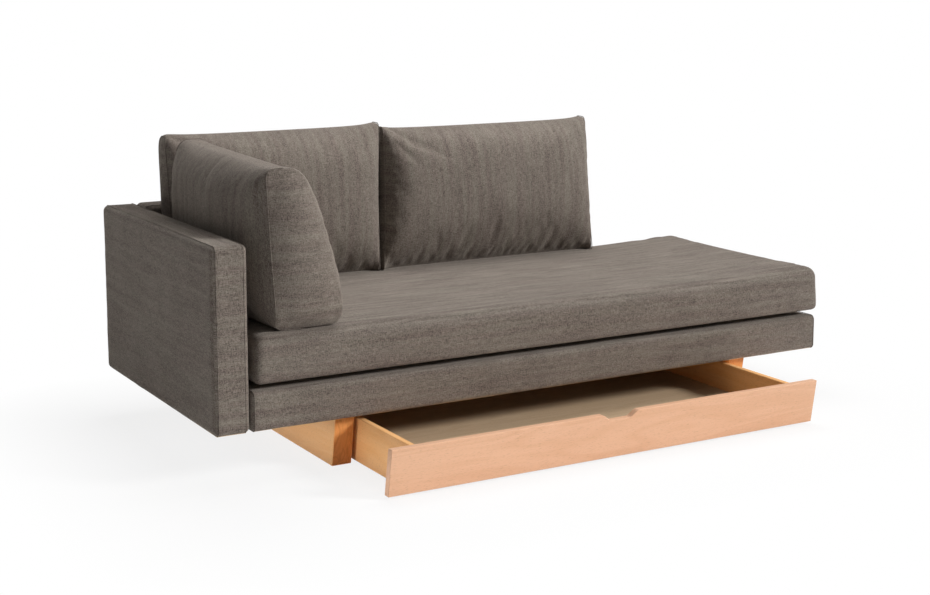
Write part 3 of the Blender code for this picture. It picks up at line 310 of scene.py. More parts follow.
# Cloth simulation. A cap is the furthest that a point moves, SINK the furthest down.
SIM_FRAMES = 20
CUSHION_PRESSURE = 3.0
CUSHION_GROWTH = 0.013
CUSHION_CAP = 0.024
MATTRESS_PRESSURE = 1.5
MATTRESS_GROWTH = 0.002
MATTRESS_CAP = 0.005
SINK = 0.004
CLOTH_SETTINGS = {
    "quality": 6,
    "mass": 0.3,
    "tension_stiffness": 18,
    "compression_stiffness": 12,
    "shear_stiffness": 6,
    "bending_stiffness": 0.6,
    "air_damping": 2.0,
    "use_pressure": True,
    "vertex_group_mass": "pin",
    "pin_stiffness": 1.0,
}
TINY = 1e-9

Cover = namedtuple("Cover", "piece pressure growth cap limits")


# Node helpers
class Graph:
    """A material's or world's node tree, with short calls for the nodes used here."""

    def __init__(self, owner, output="ShaderNodeOutputMaterial"):
        owner.use_nodes = True
        self.owner = owner
        self.tree = owner.node_tree
        self.tree.nodes.clear()
        self.output = self.add(output)
        self.shader = None

    def add(self, kind, **settings):
        node = self.tree.nodes.new(kind)
        for key, value in settings.items():
            setattr(node, key, value)
        return node

    def join(self, source, target):
        self.tree.links.new(source, target)

    def feed(self, socket, value):
        if isinstance(value, bpy.types.NodeSocket):
            self.join(value, socket)
        else:
            socket.default_value = value

    def principled(self, constants):
        self.shader = self.add("ShaderNodeBsdfPrincipled")
        for key, value in constants.items():
            self.shader.inputs[key].default_value = value
        self.join(self.shader.outputs["BSDF"], self.output.inputs["Surface"])

    def paint(self, colour, roughness=None):
        self.join(colour, self.shader.inputs["Base Color"])
        if roughness is not None:
            self.join(roughness, self.shader.inputs["Roughness"])

    def math(self, operation, first, second=0.0, clamp=False):
        node = self.add("ShaderNodeMath", operation=operation, use_clamp=clamp)
        self.feed(node.inputs[0], first)
        self.feed(node.inputs[1], second)
        return node.outputs[0]

    def vector_math(self, operation, first, second=None):
        node = self.add("ShaderNodeVectorMath", operation=operation)
        self.join(first, node.inputs[0])
        if second is not None:
            self.feed(node.inputs[1], second)
        return node.outputs["Value" if operation == "LENGTH" else "Vector"]

    def blend(self, share, first, second):
        """first where share is 0, second where it is 1, for single values."""
        node = self.add("ShaderNodeMix", data_type="FLOAT", clamp_factor=True)
        self.feed(node.inputs[0], share)
        self.feed(node.inputs[2], first)
        self.feed(node.inputs[3], second)
        return node.outputs[0]

    def colour_mix(self, share, first, second, mode="MIX"):
        node = self.add("ShaderNodeMix", data_type="RGBA", blend_type=mode)
        self.feed(node.inputs[0], share)
        for socket, value in ((node.inputs[6], first), (node.inputs[7], second)):
            is_socket = isinstance(value, bpy.types.NodeSocket)
            self.feed(socket, value if is_socket else (*value, 1.0))
        return node.outputs[2]

    def shader_mix(self, share, first, second):
        node = self.add("ShaderNodeMixShader")
        for socket, value in zip(node.inputs, (share, first, second)):
            self.join(value, socket)
        return node.outputs[0]

    def vector(self, x, y, z):
        node = self.add("ShaderNodeCombineXYZ")
        for socket, value in zip(node.inputs, (x, y, z)):
            self.feed(socket, value)
        return node.outputs[0]

    def parts(self, vector):
        node = self.add("ShaderNodeSeparateXYZ")
        self.join(vector, node.inputs[0])
        return node.outputs

    def place(self):
        return self.add("ShaderNodeTexCoord").outputs["Object"]

    def facing(self):
        """How much the surface faces along x, y and z, whichever way."""
        normal = self.add("ShaderNodeTexCoord").outputs["Normal"]
        return self.parts(self.vector_math("ABSOLUTE", normal))

    def noise(self, vector, scale=1.0, detail=2.0, roughness=0.5, distortion=0.0, output=0):
        """Soft noise. scale is a number, or one for each axis."""
        if isinstance(scale, tuple):
            vector = self.vector_math("MULTIPLY", vector, scale)
            scale = 1.0
        node = self.add("ShaderNodeTexNoise")
        self.join(vector, node.inputs["Vector"])
        node.inputs["Scale"].default_value = scale
        node.inputs["Detail"].default_value = detail
        node.inputs["Roughness"].default_value = roughness
        node.inputs["Distortion"].default_value = distortion
        return node.outputs[output]

    def stretch(self, value, old, new=(0.0, 1.0)):
        """Maps the range old to the range new, and stops at its ends."""
        node = self.add("ShaderNodeMapRange", clamp=True)
        self.join(value, node.inputs["Value"])
        node.inputs["From Min"].default_value, node.inputs["From Max"].default_value = old
        node.inputs["To Min"].default_value, node.inputs["To Max"].default_value = new
        return node.outputs[0]

    def rings(self, value, count):
        """Soft lines from 0 to 1 wherever value passes another ring."""
        wave = self.math("SINE", self.math("MULTIPLY", value, count))
        return self.stretch(wave, (-1.0, 1.0))

    def bump(self, height, strength, distance):
        node = self.add("ShaderNodeBump")
        node.inputs["Strength"].default_value = strength
        node.inputs["Distance"].default_value = distance
        self.join(height, node.inputs["Height"])
        self.join(node.outputs[0], self.shader.inputs["Normal"])


def material_graph(name, constants):
    graph = Graph(bpy.data.materials.new(name))
    graph.principled(constants)
    return graph


# Materials
def swaying_place(graph, place):
    """The three parts of the place, moved a little by a slow noise."""
    wander = graph.noise(place, SWAY_SCALE, detail=1.0, output="Color")
    shift = graph.vector_math("MULTIPLY", wander, SWAY_SIZE)
    return graph.parts(graph.vector_math("ADD", place, shift))


def board_weave(graph, place, run):
    """Threads that run level round a board or a mattress. run is its long axis."""
    spots = swaying_place(graph, place)
    normal = graph.facing()
    other = 1 - run
    beside = graph.math("MAXIMUM", normal[other], normal[2])
    cap = graph.math("GREATER_THAN", normal[run], beside)
    upright = graph.math("MAXIMUM", normal[0], normal[1])
    level = graph.math("GREATER_THAN", normal[2], upright)
    across = graph.blend(cap, graph.math("ADD", spots[other], spots[2]), spots[2])
    along = graph.blend(cap, spots[run], spots[other])
    return level, across, along


def cushion_weave(graph, place, wrap):
    """Upright threads that go on over the top edge, and level ones on the end panels.

    wrap is the axis that the cushion's broad sides face.
    """
    spots = swaying_place(graph, place)
    normal = graph.facing()
    other = 1 - wrap
    over_top = graph.math("MULTIPLY", normal[2], TOP_EDGE_HOLD)
    on_wrap = graph.math("ADD", normal[wrap], over_top)
    panel = graph.math("GREATER_THAN", normal[other], on_wrap)
    across = graph.blend(panel, spots[other], spots[2])
    along = graph.blend(panel, graph.math("ADD", spots[2], spots[wrap]), spots[wrap])
    return panel, across, along


def fabric(name, weave, axis, streak=1.0, level_pulls=LEVEL_PULLS):
    """Linen-like weave: threads, slubs, broad bands and a dusty sheen."""
    graph = material_graph(name, FABRIC_SURFACE)
    place = graph.place()
    level, across, along = weave(graph, place, axis)
    plane = graph.vector(across, along, 0.0)

    textures, weights = {}, {}
    for key, (wide, long, detail, roughness, weight) in THREAD_TEXTURES.items():
        textures[key] = graph.noise(plane, (wide, long, 1.0), detail, roughness)
        weights[key] = weight
    for key, (scale, detail, roughness, weight) in POINT_TEXTURES.items():
        textures[key] = graph.noise(place, scale, detail, roughness)
        weights[key] = weight
    for key in ("slub_warp", "slub_weft", "pulls"):
        weights[key] *= streak
    weights["pulls"] = graph.blend(level, weights["pulls"], level_pulls)

    total = 0.0
    for key, texture in textures.items():
        change = graph.math("MULTIPLY", graph.math("SUBTRACT", texture, 0.5), weights[key])
        total = graph.math("ADD", total, change)
    share = graph.math("ADD", total, 0.5, clamp=True)
    threads = graph.colour_mix(share, FABRIC_DARK, FABRIC_LIGHT)
    warmth = graph.stretch(textures["bands"], FABRIC_HUE_RANGE)
    hue = graph.colour_mix(warmth, FABRIC_WARM, FABRIC_COOL)
    graph.paint(graph.colour_mix(1.0, threads, hue, mode="MULTIPLY"))

    turn = math.pi / THREAD_PITCH
    warp_wave = graph.math("SINE", graph.math("MULTIPLY", across, turn))
    weft_wave = graph.math("SINE", graph.math("MULTIPLY", along, turn))
    over = graph.math("GREATER_THAN", graph.math("MULTIPLY", warp_wave, weft_wave), 0.0)
    warp_height = graph.math("ABSOLUTE", warp_wave)
    weft_height = graph.math("ABSOLUTE", weft_wave)
    crossing = graph.blend(over, warp_height, weft_height)
    slubs = graph.math("ADD", textures["slub_warp"], textures["slub_weft"])
    height = graph.math("ADD", graph.math("MULTIPLY", crossing, 0.5), slubs)
    height = graph.math("ADD", height, textures["specks"])
    graph.bump(height, *THREAD_BUMP)
    return graph.owner


def timber(name, axis, colours, end_colours=None, roughness=BEECH_ROUGHNESS, rings=1.0):
    """Straight-grained wood with fine flecks. axis is the grain's direction."""
    graph = material_graph(name, WOOD_SURFACE)
    place = graph.place()
    textures = {}
    for key, (along, across, detail, distortion) in WOOD_TEXTURES.items():
        scales = tuple(along if index == axis else across for index in range(3))
        textures[key] = graph.noise(place, scales, detail, distortion=distortion)
    textures["lines"] = graph.rings(textures["growth"], WOOD_RINGS * rings)
    fleck = graph.stretch(textures["fleck"], FLECK_RANGE)
    fibre = textures["fibre"]

    share = 0.0
    for key, weight in WOOD_WEIGHTS.items():
        share = graph.math("ADD", share, graph.math("MULTIPLY", textures[key], weight))
    share = graph.math("SUBTRACT", share, WOOD_OFFSET, clamp=True)
    colour = graph.colour_mix(share, *colours)
    fleck_share = graph.math("MULTIPLY", fleck, FLECK_WEIGHT)
    fleck_colour = tuple(FLECK_SHADE * value for value in colours[1])
    colour = graph.colour_mix(fleck_share, colour, fleck_colour)

    if end_colours:
        on_end = graph.math("GREATER_THAN", graph.facing()[axis], END_FACING)
        arcs = graph.noise(place, ARC_SCALES, detail=3.0, distortion=ARC_DISTORTION)
        arcs = graph.math("MULTIPLY", graph.rings(arcs, ARC_RINGS), ARC_WEIGHT)
        pores = graph.noise(place, PORE_SCALE, detail=1.0)
        end_share = graph.math("ADD", arcs, pores)
        end_share = graph.math("SUBTRACT", end_share, END_OFFSET, clamp=True)
        colour = graph.colour_mix(on_end, colour, graph.colour_mix(end_share, *end_colours))
    gloss = tuple(roughness + change for change in FIBRE_GLOSS)
    graph.paint(colour, graph.stretch(fibre, FIBRE_RANGE, gloss))
    relief = graph.math("SUBTRACT", fibre, graph.math("MULTIPLY", fleck, FLECK_RELIEF))
    graph.bump(relief, *WOOD_BUMP)
    return graph.owner


def brushed_steel(name):
    """Zinc-plated steel: cloudy, with fine lines and small scratches."""
    graph = material_graph(name, {"Metallic": 1.0})
    place = graph.place()
    lines = graph.noise(place, ZINC_LINES)
    cloud = graph.noise(place, ZINC_CLOUD_SCALE, detail=3.0)
    share = graph.stretch(graph.math("ADD", lines, cloud), ZINC_RANGE)
    colour = graph.colour_mix(share, ZINC_DARK, ZINC_LIGHT)
    graph.paint(colour, graph.stretch(cloud, SKIN_RANGE, ZINC_ROUGHNESS))
    graph.bump(lines, *ZINC_BUMP)
    return graph.owner


def coated_steel(name):
    """Black powder coat: a fine orange-peel skin."""
    graph = material_graph(name, {"Metallic": 0.0, "Specular IOR Level": 0.5})
    place = graph.place()
    peel = graph.noise(place, COAT_PEEL_SCALE)
    colour = graph.colour_mix(graph.noise(place, COAT_CLOUD_SCALE), COAT_DARK, COAT_LIGHT)
    graph.paint(colour, graph.stretch(peel, SKIN_RANGE, COAT_ROUGHNESS))
    graph.bump(peel, *COAT_BUMP)
    return graph.owner


def moulded(name, dark, light, roughness, grain):
    """A moulded plastic or rubber skin with slight marbling."""
    graph = material_graph(name, {"Specular IOR Level": 0.4})
    place = graph.place()
    cloud = graph.noise(place, MOULDED_CLOUD_SCALE, detail=3.0)
    skin = graph.noise(place, grain)
    gloss = tuple(roughness + change for change in MOULDED_GLOSS)
    graph.paint(graph.colour_mix(cloud, dark, light), graph.stretch(skin, SKIN_RANGE, gloss))
    graph.bump(skin, *MOULDED_BUMP)
    return graph.owner


# Mesh helpers
def ease(share):
    """A share from 0 to 1 that starts and ends slowly."""
    return share**2 * (3 - 2 * share)


def axis_lines(length, radius, cell):
    """Grid lines from 0 to length, closer together in the rounded ends."""
    turns = [radius * (1 - math.tan(math.radians(angle))) for angle in ROUND_TURNS]
    flat = length - 2 * radius
    steps = max(2, round(flat / cell))
    middle = [radius + flat * step / steps for step in range(steps + 1)]
    return np.array(turns + middle + [length - value for value in reversed(turns)])


def box_grid(lines):
    """Points and quads of a closed box surface whose grid lines are given.

    Each point is returned as three line numbers, so that a caller can place it.
    """
    counts = [len(axis) - 1 for axis in lines]
    index = {}
    points = []
    quads = []

    def number(key):
        if key not in index:
            index[key] = len(points)
            points.append(key)
        return index[key]

    for axis in range(3):
        first, second = (axis + 1) % 3, (axis + 2) % 3
        for end in (0, counts[axis]):
            for i in range(counts[first]):
                for j in range(counts[second]):
                    corners = []
                    for di, dj in ((0, 0), (1, 0), (1, 1), (0, 1)):
                        key = [0, 0, 0]
                        key[axis], key[first], key[second] = end, i + di, j + dj
                        corners.append(number(tuple(key)))
                    quads.append(corners if end else corners[::-1])
    return np.array(points), quads


def make_mesh(name, points, quads, material):
    mesh = bpy.data.meshes.new(name)
    mesh.from_pydata([tuple(map(float, point)) for point in points], [], quads)
    mesh.update()
    mesh.shade_smooth()
    mesh.materials.append(material)
    piece = bpy.data.objects.new(name, mesh)
    bpy.context.scene.collection.objects.link(piece)
    return piece


def pin_points(piece, numbers):
    """The cloth simulation leaves these points where they are."""
    group = piece.vertex_groups.new(name="pin")
    group.add([int(number) for number in numbers], 1.0, "REPLACE")


def wave_field(points, seed, reach, count=9):
    """A smooth random height between about -1 and 1, the same on every run."""
    random = np.random.default_rng(seed)
    total = np.zeros(len(points))
    for _ in range(count):
        direction = random.normal(size=3)
        rate = (2 * math.pi / reach) * random.uniform(0.5, 1.6)
        direction *= rate / np.linalg.norm(direction)
        total += np.sin(points @ direction + random.uniform(0, 2 * math.pi))
    return total / math.sqrt(count)


def rounded_box(low, high, radius, cell, foot_radius=None):
    """Points, outward directions and quads of a box with rounded edges.

    foot_radius is the radius at the foot, which grows into the other one upward.
    """
    low, high = np.array(low, float), np.array(high, float)
    lines = [axis_lines(high[k] - low[k], radius, cell) for k in range(3)]
    keys, quads = box_grid(lines)
    raw = np.stack([lines[k][keys[:, k]] for k in range(3)], axis=1) + low
    if foot_radius:
        rise = (raw[:, 2:] - low[2]) / (high[2] - low[2])
        radius = foot_radius + (radius - foot_radius) * ease(rise)
    inner = np.clip(raw, low + radius, high - radius)
    away = raw - inner
    away /= np.linalg.norm(away, axis=1)[:, None]
    return inner + radius * away, away, quads


def swell(points, low, high, crowns):
    """How far each big face stands out: nothing at its edges, most in the middle."""
    shares = (points - low) / (np.array(high) - low) * 2 - 1
    offset = np.zeros_like(points)
    for axis in range(3):
        full = np.ones(len(points))
        for other in (k for k in range(3) if k != axis):
            full *= 1 - np.clip(np.abs(shares[:, other]), 0, 1) ** SWELL_EDGE_POWER
        face = np.sign(shares[:, axis]) * np.abs(shares[:, axis]) ** SWELL_FACE_POWER
        offset[:, axis] = face * crowns[axis] * full
    return offset


def tube(name, path, radius, material, closed=True):
    """A round thread along a path: a seam or a welt."""
    path = np.array(path, float)
    count = len(path)
    ahead = np.roll(path, -1, axis=0) if closed else np.vstack([path[1:], path[-1:]])
    behind = np.roll(path, 1, axis=0) if closed else np.vstack([path[:1], path[:-1]])
    run = ahead - behind
    run /= np.linalg.norm(run, axis=1)[:, None]
    side = np.cross(run, np.array(ASKEW))
    side /= np.linalg.norm(side, axis=1)[:, None]
    lift = np.cross(side, run)
    rows = []
    for turn in range(SEAM_SIDES):
        angle = 2 * math.pi * turn / SEAM_SIDES
        rows.append(path + radius * (math.cos(angle) * side + math.sin(angle) * lift))
    points = np.stack(rows, axis=1).reshape(-1, 3)
    quads = []
    for k in range(count if closed else count - 1):
        here, after = k * SEAM_SIDES, (k + 1) % count * SEAM_SIDES
        for turn in range(SEAM_SIDES):
            there = (turn + 1) % SEAM_SIDES
            quads.append([here + turn, here + there, after + there, after + turn])
    if not closed:
        end = (count - 1) * SEAM_SIDES
        quads.append(list(range(SEAM_SIDES)))
        quads.append([end + turn for turn in reversed(range(SEAM_SIDES))])
    return make_mesh(name, points, quads, material)


# Upholstered boards
def seam_loop(low, high, radius, axis, place):
    """A rounded rectangle round a box, in the plane where axis is at place."""
    first, second = [k for k in range(3) if k != axis]
    path = []
    for far_first, far_second, start in ((1, 1, 0), (0, 1, 90), (0, 0, 180), (1, 0, 270)):
        centre_first = high[first] - radius if far_first else low[first] + radius
        centre_second = high[second] - radius if far_second else low[second] + radius
        for degrees in range(start, start + 91, SEAM_TURN):
            angle = math.radians(degrees)
            point = [0.0, 0.0, 0.0]
            point[axis] = place
            point[first] = centre_first + radius * math.cos(angle)
            point[second] = centre_second + radius * math.sin(angle)
            path.append(point)
    dense = []
    for here, there in zip(path, path[1:] + path[:1]):
        steps = max(1, int(math.dist(here, there) / SEAM_STEP))
        for step in range(steps):
            dense.append([a + (b - a) * step / steps for a, b in zip(here, there)])
    return dense


def upholstered_board(node, radius, crowns, seed, material, seam_axis, seam_inset):
    """A taut cover over a board: rounded edges, slight swell and a seam on each side."""
    low, high = (np.array(corner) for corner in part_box(node))
    points, away, quads = rounded_box(low, high, radius, CELL)
    offset = swell(points, low, high, crowns)
    ripple = np.zeros(len(points))
    for number, (reach, height) in enumerate(RIPPLES):
        ripple += wave_field(points, seed + number, reach) * height
    points = points + offset + away * ripple[:, None]
    cover = make_mesh("soft_" + node, points, quads, material)
    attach(cover, NODES[node]["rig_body"])
    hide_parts(node)
    near, far = low[seam_axis] + seam_inset, high[seam_axis] - seam_inset
    for label, place in (("near", near), ("far", far)):
        path = seam_loop(low, high, radius, seam_axis, place)
        seam = tube(f"seam_{node}_{label}", path, SEAM_RADIUS, material)
        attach(seam, NODES[node]["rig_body"])


# Cushions
def cushion_points(length, height, depth, cell):
    """A cushion's grid: shares along (-1 to 1), deep (-1 to 1) and high (0 to 1)."""
    counts = [max(2, round(size / cell)) for size in (length, depth, height)]
    lines = [np.linspace(0, 1, count + 1) for count in counts]
    keys, quads = box_grid(lines)
    along = lines[0][keys[:, 0]] * 2 - 1
    deep = lines[1][keys[:, 1]] * 2 - 1
    high = lines[2][keys[:, 2]]
    rim = (np.abs(deep) == 1) | (high == 0) | (high == 1)
    ring = (np.abs(along) == 1) & rim
    return along, deep, high, ring, keys, counts, quads


def round_profile(deep, high, depth, height, radius):
    """Rounds the four long edges of a cushion's cross-section."""
    d = deep * depth / 2
    h = high * height - height / 2
    inner_d = np.clip(d, -(depth / 2 - radius), depth / 2 - radius)
    inner_h = np.clip(h, -(height / 2 - radius), height / 2 - radius)
    away_d, away_h = d - inner_d, h - inner_h
    size = np.hypot(away_d, away_h)
    reach = np.maximum(np.abs(away_d), np.abs(away_h))
    factor = np.where(size > TINY, reach / np.maximum(size, TINY), 1.0)
    d, h = inner_d + away_d * factor, inner_h + away_h * factor
    return d / (depth / 2), (h + height / 2) / height


def make_cushion(name, length, height, mean_depth, shape, place, material):
    """A boxed wedge cushion before it is swelled.

    Its two ends are panels held by a seam. The rest is one wrap, fuller in the
    middle than at the seams. Its foot is tucked in where it rests on the seat, and
    its top edge dips between the corners. Small pleats run from the edges inward.
    """
    along, deep, high, ring, keys, counts, quads = cushion_points(
        length, height, mean_depth, CUSHION_CELL
    )
    from_middle = np.abs(along)
    middle = 1 - from_middle ** shape["end_power"]
    at_top = high > 0.5
    at_near = deep < 0
    first, last = shape["end_radii"]
    end_radius = np.where(along < 0, np.where(at_near, *first), np.where(at_near, *last))
    end_radius = np.where(at_top, end_radius, shape["foot_radius"])
    mid_radius = np.where(at_top, shape["middle_radius"], CUSHION_MIDDLE_FOOT_RADIUS)
    radius = end_radius + (mid_radius - end_radius) * middle
    deep, high = round_profile(deep, high, mean_depth, height, radius)
    near, far = shape["edges"](high)
    rise = high * 2 - 1
    from_half = np.abs(rise)

    # Depth: how full the wrap is along the cushion and over its height
    inward = np.clip((1 - from_middle) * length / 2 / shape["end_reach"], 0, 1)
    dome = 1 - from_middle**CUSHION_DOME
    bend = np.sqrt(1 - (1 - inward) ** 2)
    full_along = (1 - shape["dome"]) * bend + shape["dome"] * dome
    full_high = 1 - np.where(rise > 0, from_half**TOP_FULL_POWER, from_half**FOOT_FULL_POWER)
    near_crown, far_crown = shape["crowns"]
    near_tuck, far_tuck = shape["tucks"]
    outward = np.abs(deep) ** CROWN_POWER
    crown = np.where(deep < 0, -near_crown, far_crown) * outward
    tuck = np.where(deep < 0, near_tuck, -far_tuck) * outward
    foot = np.clip(1 - high * height / shape["tuck_reach"], 0, 1) ** TUCK_POWER
    depth = near + (far - near) * (deep + 1) / 2
    depth = depth + full_along * (crown * full_high + tuck * foot)

    # Length: the end seams draw in, and the panels between them stand out
    draw = CUSHION_DRAW_IN * (1 - from_half**CROWN_POWER)
    panel = np.where(from_middle == 1, (1 - deep**2) * (1 - from_half**PANEL_POWER), 0.0)
    corner = np.where(along < 0, *shape["corner_drops"]) * from_middle**CORNER_POWER
    end_tuck = np.where(along < 0, *shape["end_tucks"]) * foot * from_middle**END_POWER
    end_tuck = end_tuck + corner * high**CORNER_TUCK_POWER
    half = length / 2 - draw * from_middle**END_POWER - end_tuck
    run = along * (half + shape["end_bulge"] * panel)

    # Height: the top edge sags between its corners
    dip = shape["sag"] * (1 - from_middle ** shape["sag_power"]) * high**DIP_POWER
    up = high * height - dip - corner * high**CORNER_DROP_POWER
    pleat = pleats(along * length / 2, high * height, height, shape["seed"])
    depth = depth + np.sign(deep) * np.abs(deep) ** PLEAT_FACE_POWER * full_along * pleat
    if shape["mirrored"]:
        quads = [quad[::-1] for quad in quads]
    piece = make_mesh(name, place(run, depth, up), quads, material)
    pin_points(piece, np.nonzero(ring | (keys[:, 2] == 0))[0])
    return piece, keys, counts


def pleats(run, up, height, seed):
    """Short upright pleats that fade away from a cushion's top and bottom edges."""
    random = np.random.default_rng(seed)
    total = np.zeros_like(run)
    for _ in range(PLEAT_COUNT):
        centre = random.uniform(run.min(), run.max())
        at_top = random.uniform() < PLEAT_TOP_SHARE
        width = random.uniform(*PLEAT_WIDTHS)
        reach = random.uniform(*PLEAT_REACHES)
        lean = random.uniform(*PLEAT_LEANS)
        size = random.uniform(*PLEAT_SIZES) * PLEAT_DEPTH * random.choice((-1.0, 1.0))
        away = height - up if at_top else up
        offset = run - centre - lean * away
        total += size * np.exp(-((offset / width) ** 2)) * np.exp(-((away / reach) ** 2))
    return total


def ring_order(keys, counts, end):
    """Point numbers round one end seam of a cushion, in order."""
    level = 0 if end == 0 else counts[0]
    lookup = {tuple(key): number for number, key in enumerate(keys)}
    last_deep, last_high = counts[1], counts[2]
    walk = [(d, 0) for d in range(last_deep)]
    walk += [(last_deep, h) for h in range(last_high)]
    walk += [(d, last_high) for d in range(last_deep, 0, -1)]
    walk += [(0, h) for h in range(last_high, 0, -1)]
    return [lookup[(level, d, h)] for d, h in walk]


def back_cushion(node, material):
    start, length, height, sag, corner_drop, seed = BACK_CUSHIONS[node]
    centre = start + length / 2
    meeting_end = 1 if node.endswith("left") else -1

    def edges(rise):
        near = -(BACK_FOOT + (BACK_HEAD - BACK_FOOT) * rise) + BACK_END_SETBACK
        return near, np.zeros_like(rise)

    def place(run, depth, up):
        rear = BACK_REAR_FOOT + BACK_LEAN * up
        lean = BACK_END_LEAN * (0.5 + meeting_end * run / length) * up / height
        return np.stack([centre + run + lean, rear + depth, CUSHION_FLOOR + up], axis=1)

    shape = {
        "edges": edges,
        "crowns": (BACK_CROWN + BACK_END_SETBACK, 0.0),
        "tucks": (0.050, 0.0),
        "tuck_reach": 0.085,
        "end_radii": ((0.026, 0.022), (0.026, 0.022)),
        "middle_radius": 0.036,
        "end_power": 7.0,
        "end_reach": 0.065,
        "dome": 0.22,
        "sag": sag,
        "sag_power": 4.5,
        "end_bulge": 0.008,
        "corner_drops": (corner_drop, 0.0),
        "end_tucks": (0.0, 0.0),
        "foot_radius": 0.012,
        "seed": seed,
        "mirrored": False,
    }
    mean_depth = (BACK_FOOT + BACK_HEAD) / 2
    return make_cushion("soft_" + node, length, height, mean_depth, shape, place, material)


def side_cushion(node, material):
    centre = SIDE_FRONT + SIDE_LENGTH / 2

    def edges(rise):
        near = SIDE_NEAR_FOOT + (SIDE_NEAR_HEAD - SIDE_NEAR_FOOT) * rise
        bow = SIDE_BOW * (1 - np.abs(2 * rise - 1) ** SIDE_BOW_POWER)
        return near, near + SIDE_FOOT + (SIDE_HEAD - SIDE_FOOT) * rise + bow

    def place(run, depth, up):
        rearward = run / SIDE_LENGTH + 0.5
        rise = np.clip(up / SIDE_HEIGHT, 0, 1)
        lift = SIDE_REAR_RISE * rearward * rise
        turn = SIDE_TURN + (SIDE_HEAD_TURN - SIDE_TURN) * rise**SIDE_TURN_POWER
        across = ARM_FACE + depth - turn * rearward
        return np.stack([across, centre + run, CUSHION_FLOOR + up + lift], axis=1)

    shape = {
        "edges": edges,
        "crowns": (0.038, 0.026),
        "tucks": (0.0, 0.030),
        "tuck_reach": 0.070,
        "end_radii": ((0.030, 0.036), (0.046, 0.046)),
        "middle_radius": 0.050,
        "end_power": 5.0,
        "end_reach": 0.080,
        "dome": 0.40,
        "sag": 0.002,
        "sag_power": 4.0,
        "end_bulge": 0.028,
        "corner_drops": (0.0, 0.0),
        "end_tucks": (0.022, 0.0),
        "foot_radius": 0.024,
        "seed": SIDE_SEED,
        "mirrored": True,
    }
    mean_depth = (SIDE_FOOT + SIDE_HEAD) / 2
    sizes = (SIDE_LENGTH, SIDE_HEIGHT, mean_depth)
    return make_cushion("soft_" + node, *sizes, shape, place, material)


def back_limits(points):
    """Flat on the mattress, and behind against the back panel's edge."""
    points = points.copy()
    points[:, 2] = np.maximum(points[:, 2], CUSHION_FLOOR)
    rear = BACK_REAR_FOOT + BACK_LEAN * (points[:, 2] - CUSHION_FLOOR)
    above = np.clip((points[:, 2] - PANEL_TOP) / OVERHANG_RISE, 0, 1)
    points[:, 1] = np.minimum(points[:, 1], rear + PANEL_GAP + OVERHANG * above)
    return points


def side_limits(points):
    """Flat on the mattress and against the arm."""
    points = points.copy()
    points[:, 2] = np.maximum(points[:, 2], CUSHION_FLOOR)
    points[:, 0] = np.maximum(points[:, 0], ARM_FACE + ARM_GAP)
    return points


def cushion_seam(node, piece, keys, counts, end, material):
    """The seam round one end. Of the side cushion's front one, only half is drawn."""
    ring = ring_order(keys, counts, end)
    closed = node != "side_cushion" or end == 1
    if not closed:
        start = counts[1] + counts[2] + counts[1] // 2
        ring = ring[start:] + ring[: counts[1] // 2]
    path = coordinates_of(piece)[ring]
    name = f"seam_{node}_{'far' if end else 'near'}"
    return tube(name, path, CUSHION_SEAM, material, closed)


def make_cushions(back_cloth, side_cloth, covers, after):
    jobs = []
    for node in ("back_cushion_left", "back_cushion_right", "side_cushion"):
        if node == "side_cushion":
            build, limits, material = side_cushion, side_limits, side_cloth
        else:
            build, limits, material = back_cushion, back_limits, back_cloth
        piece, keys, counts = build(node, material)
        jobs.append((node, piece, keys, counts, material))
        covers.append(Cover(piece, CUSHION_PRESSURE, CUSHION_GROWTH, CUSHION_CAP, limits))

    def finish():
        for node, piece, keys, counts, material in jobs:
            body = NODES[node]["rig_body"]
            for end in (0, 1):
                seam = cushion_seam(node, piece, keys, counts, end, material)
                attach(seam, body)
            subdivide(piece)
            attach(piece, body)
            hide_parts(node)

    after.append(finish)


# Mattress
def recess_underside(points, low):
    """Takes the underside up over the deck, as the solid's is. Gives the points it holds."""
    box_low, box_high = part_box("seat_mattress")
    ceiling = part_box("seat_deck")[1][2] + MATTRESS_DECK_GAP
    flat = np.nonzero(points[:, 2] < low[2] + FLAT_TOLERANCE)[0]
    raised = np.ones(len(flat), bool)
    for axis in (0, 1):
        places, ring = np.unique(np.round(points[flat, axis], 6), return_inverse=True)
        last = len(places) - 1
        near, far = box_low[axis] + MATTRESS_WALL, box_high[axis] - MATTRESS_WALL
        walls = (
            (0, near),
            (1, near + MATTRESS_FOLD),
            (last - 1, far - MATTRESS_FOLD),
            (last, far),
        )
        for index, place in walls:
            points[flat[ring == index], axis] = place
        raised &= (ring > 0) & (ring < last)
    points[flat[raised], 2] = ceiling
    return flat


def free_end_share(points, end):
    """From 0 beside the back cushions to 1 at the mattress's free end, where nothing rests."""
    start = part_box("back_cushion_right")[1][0]
    return ease(np.clip((points[:, 0] - start) / (end - start), 0, 1))


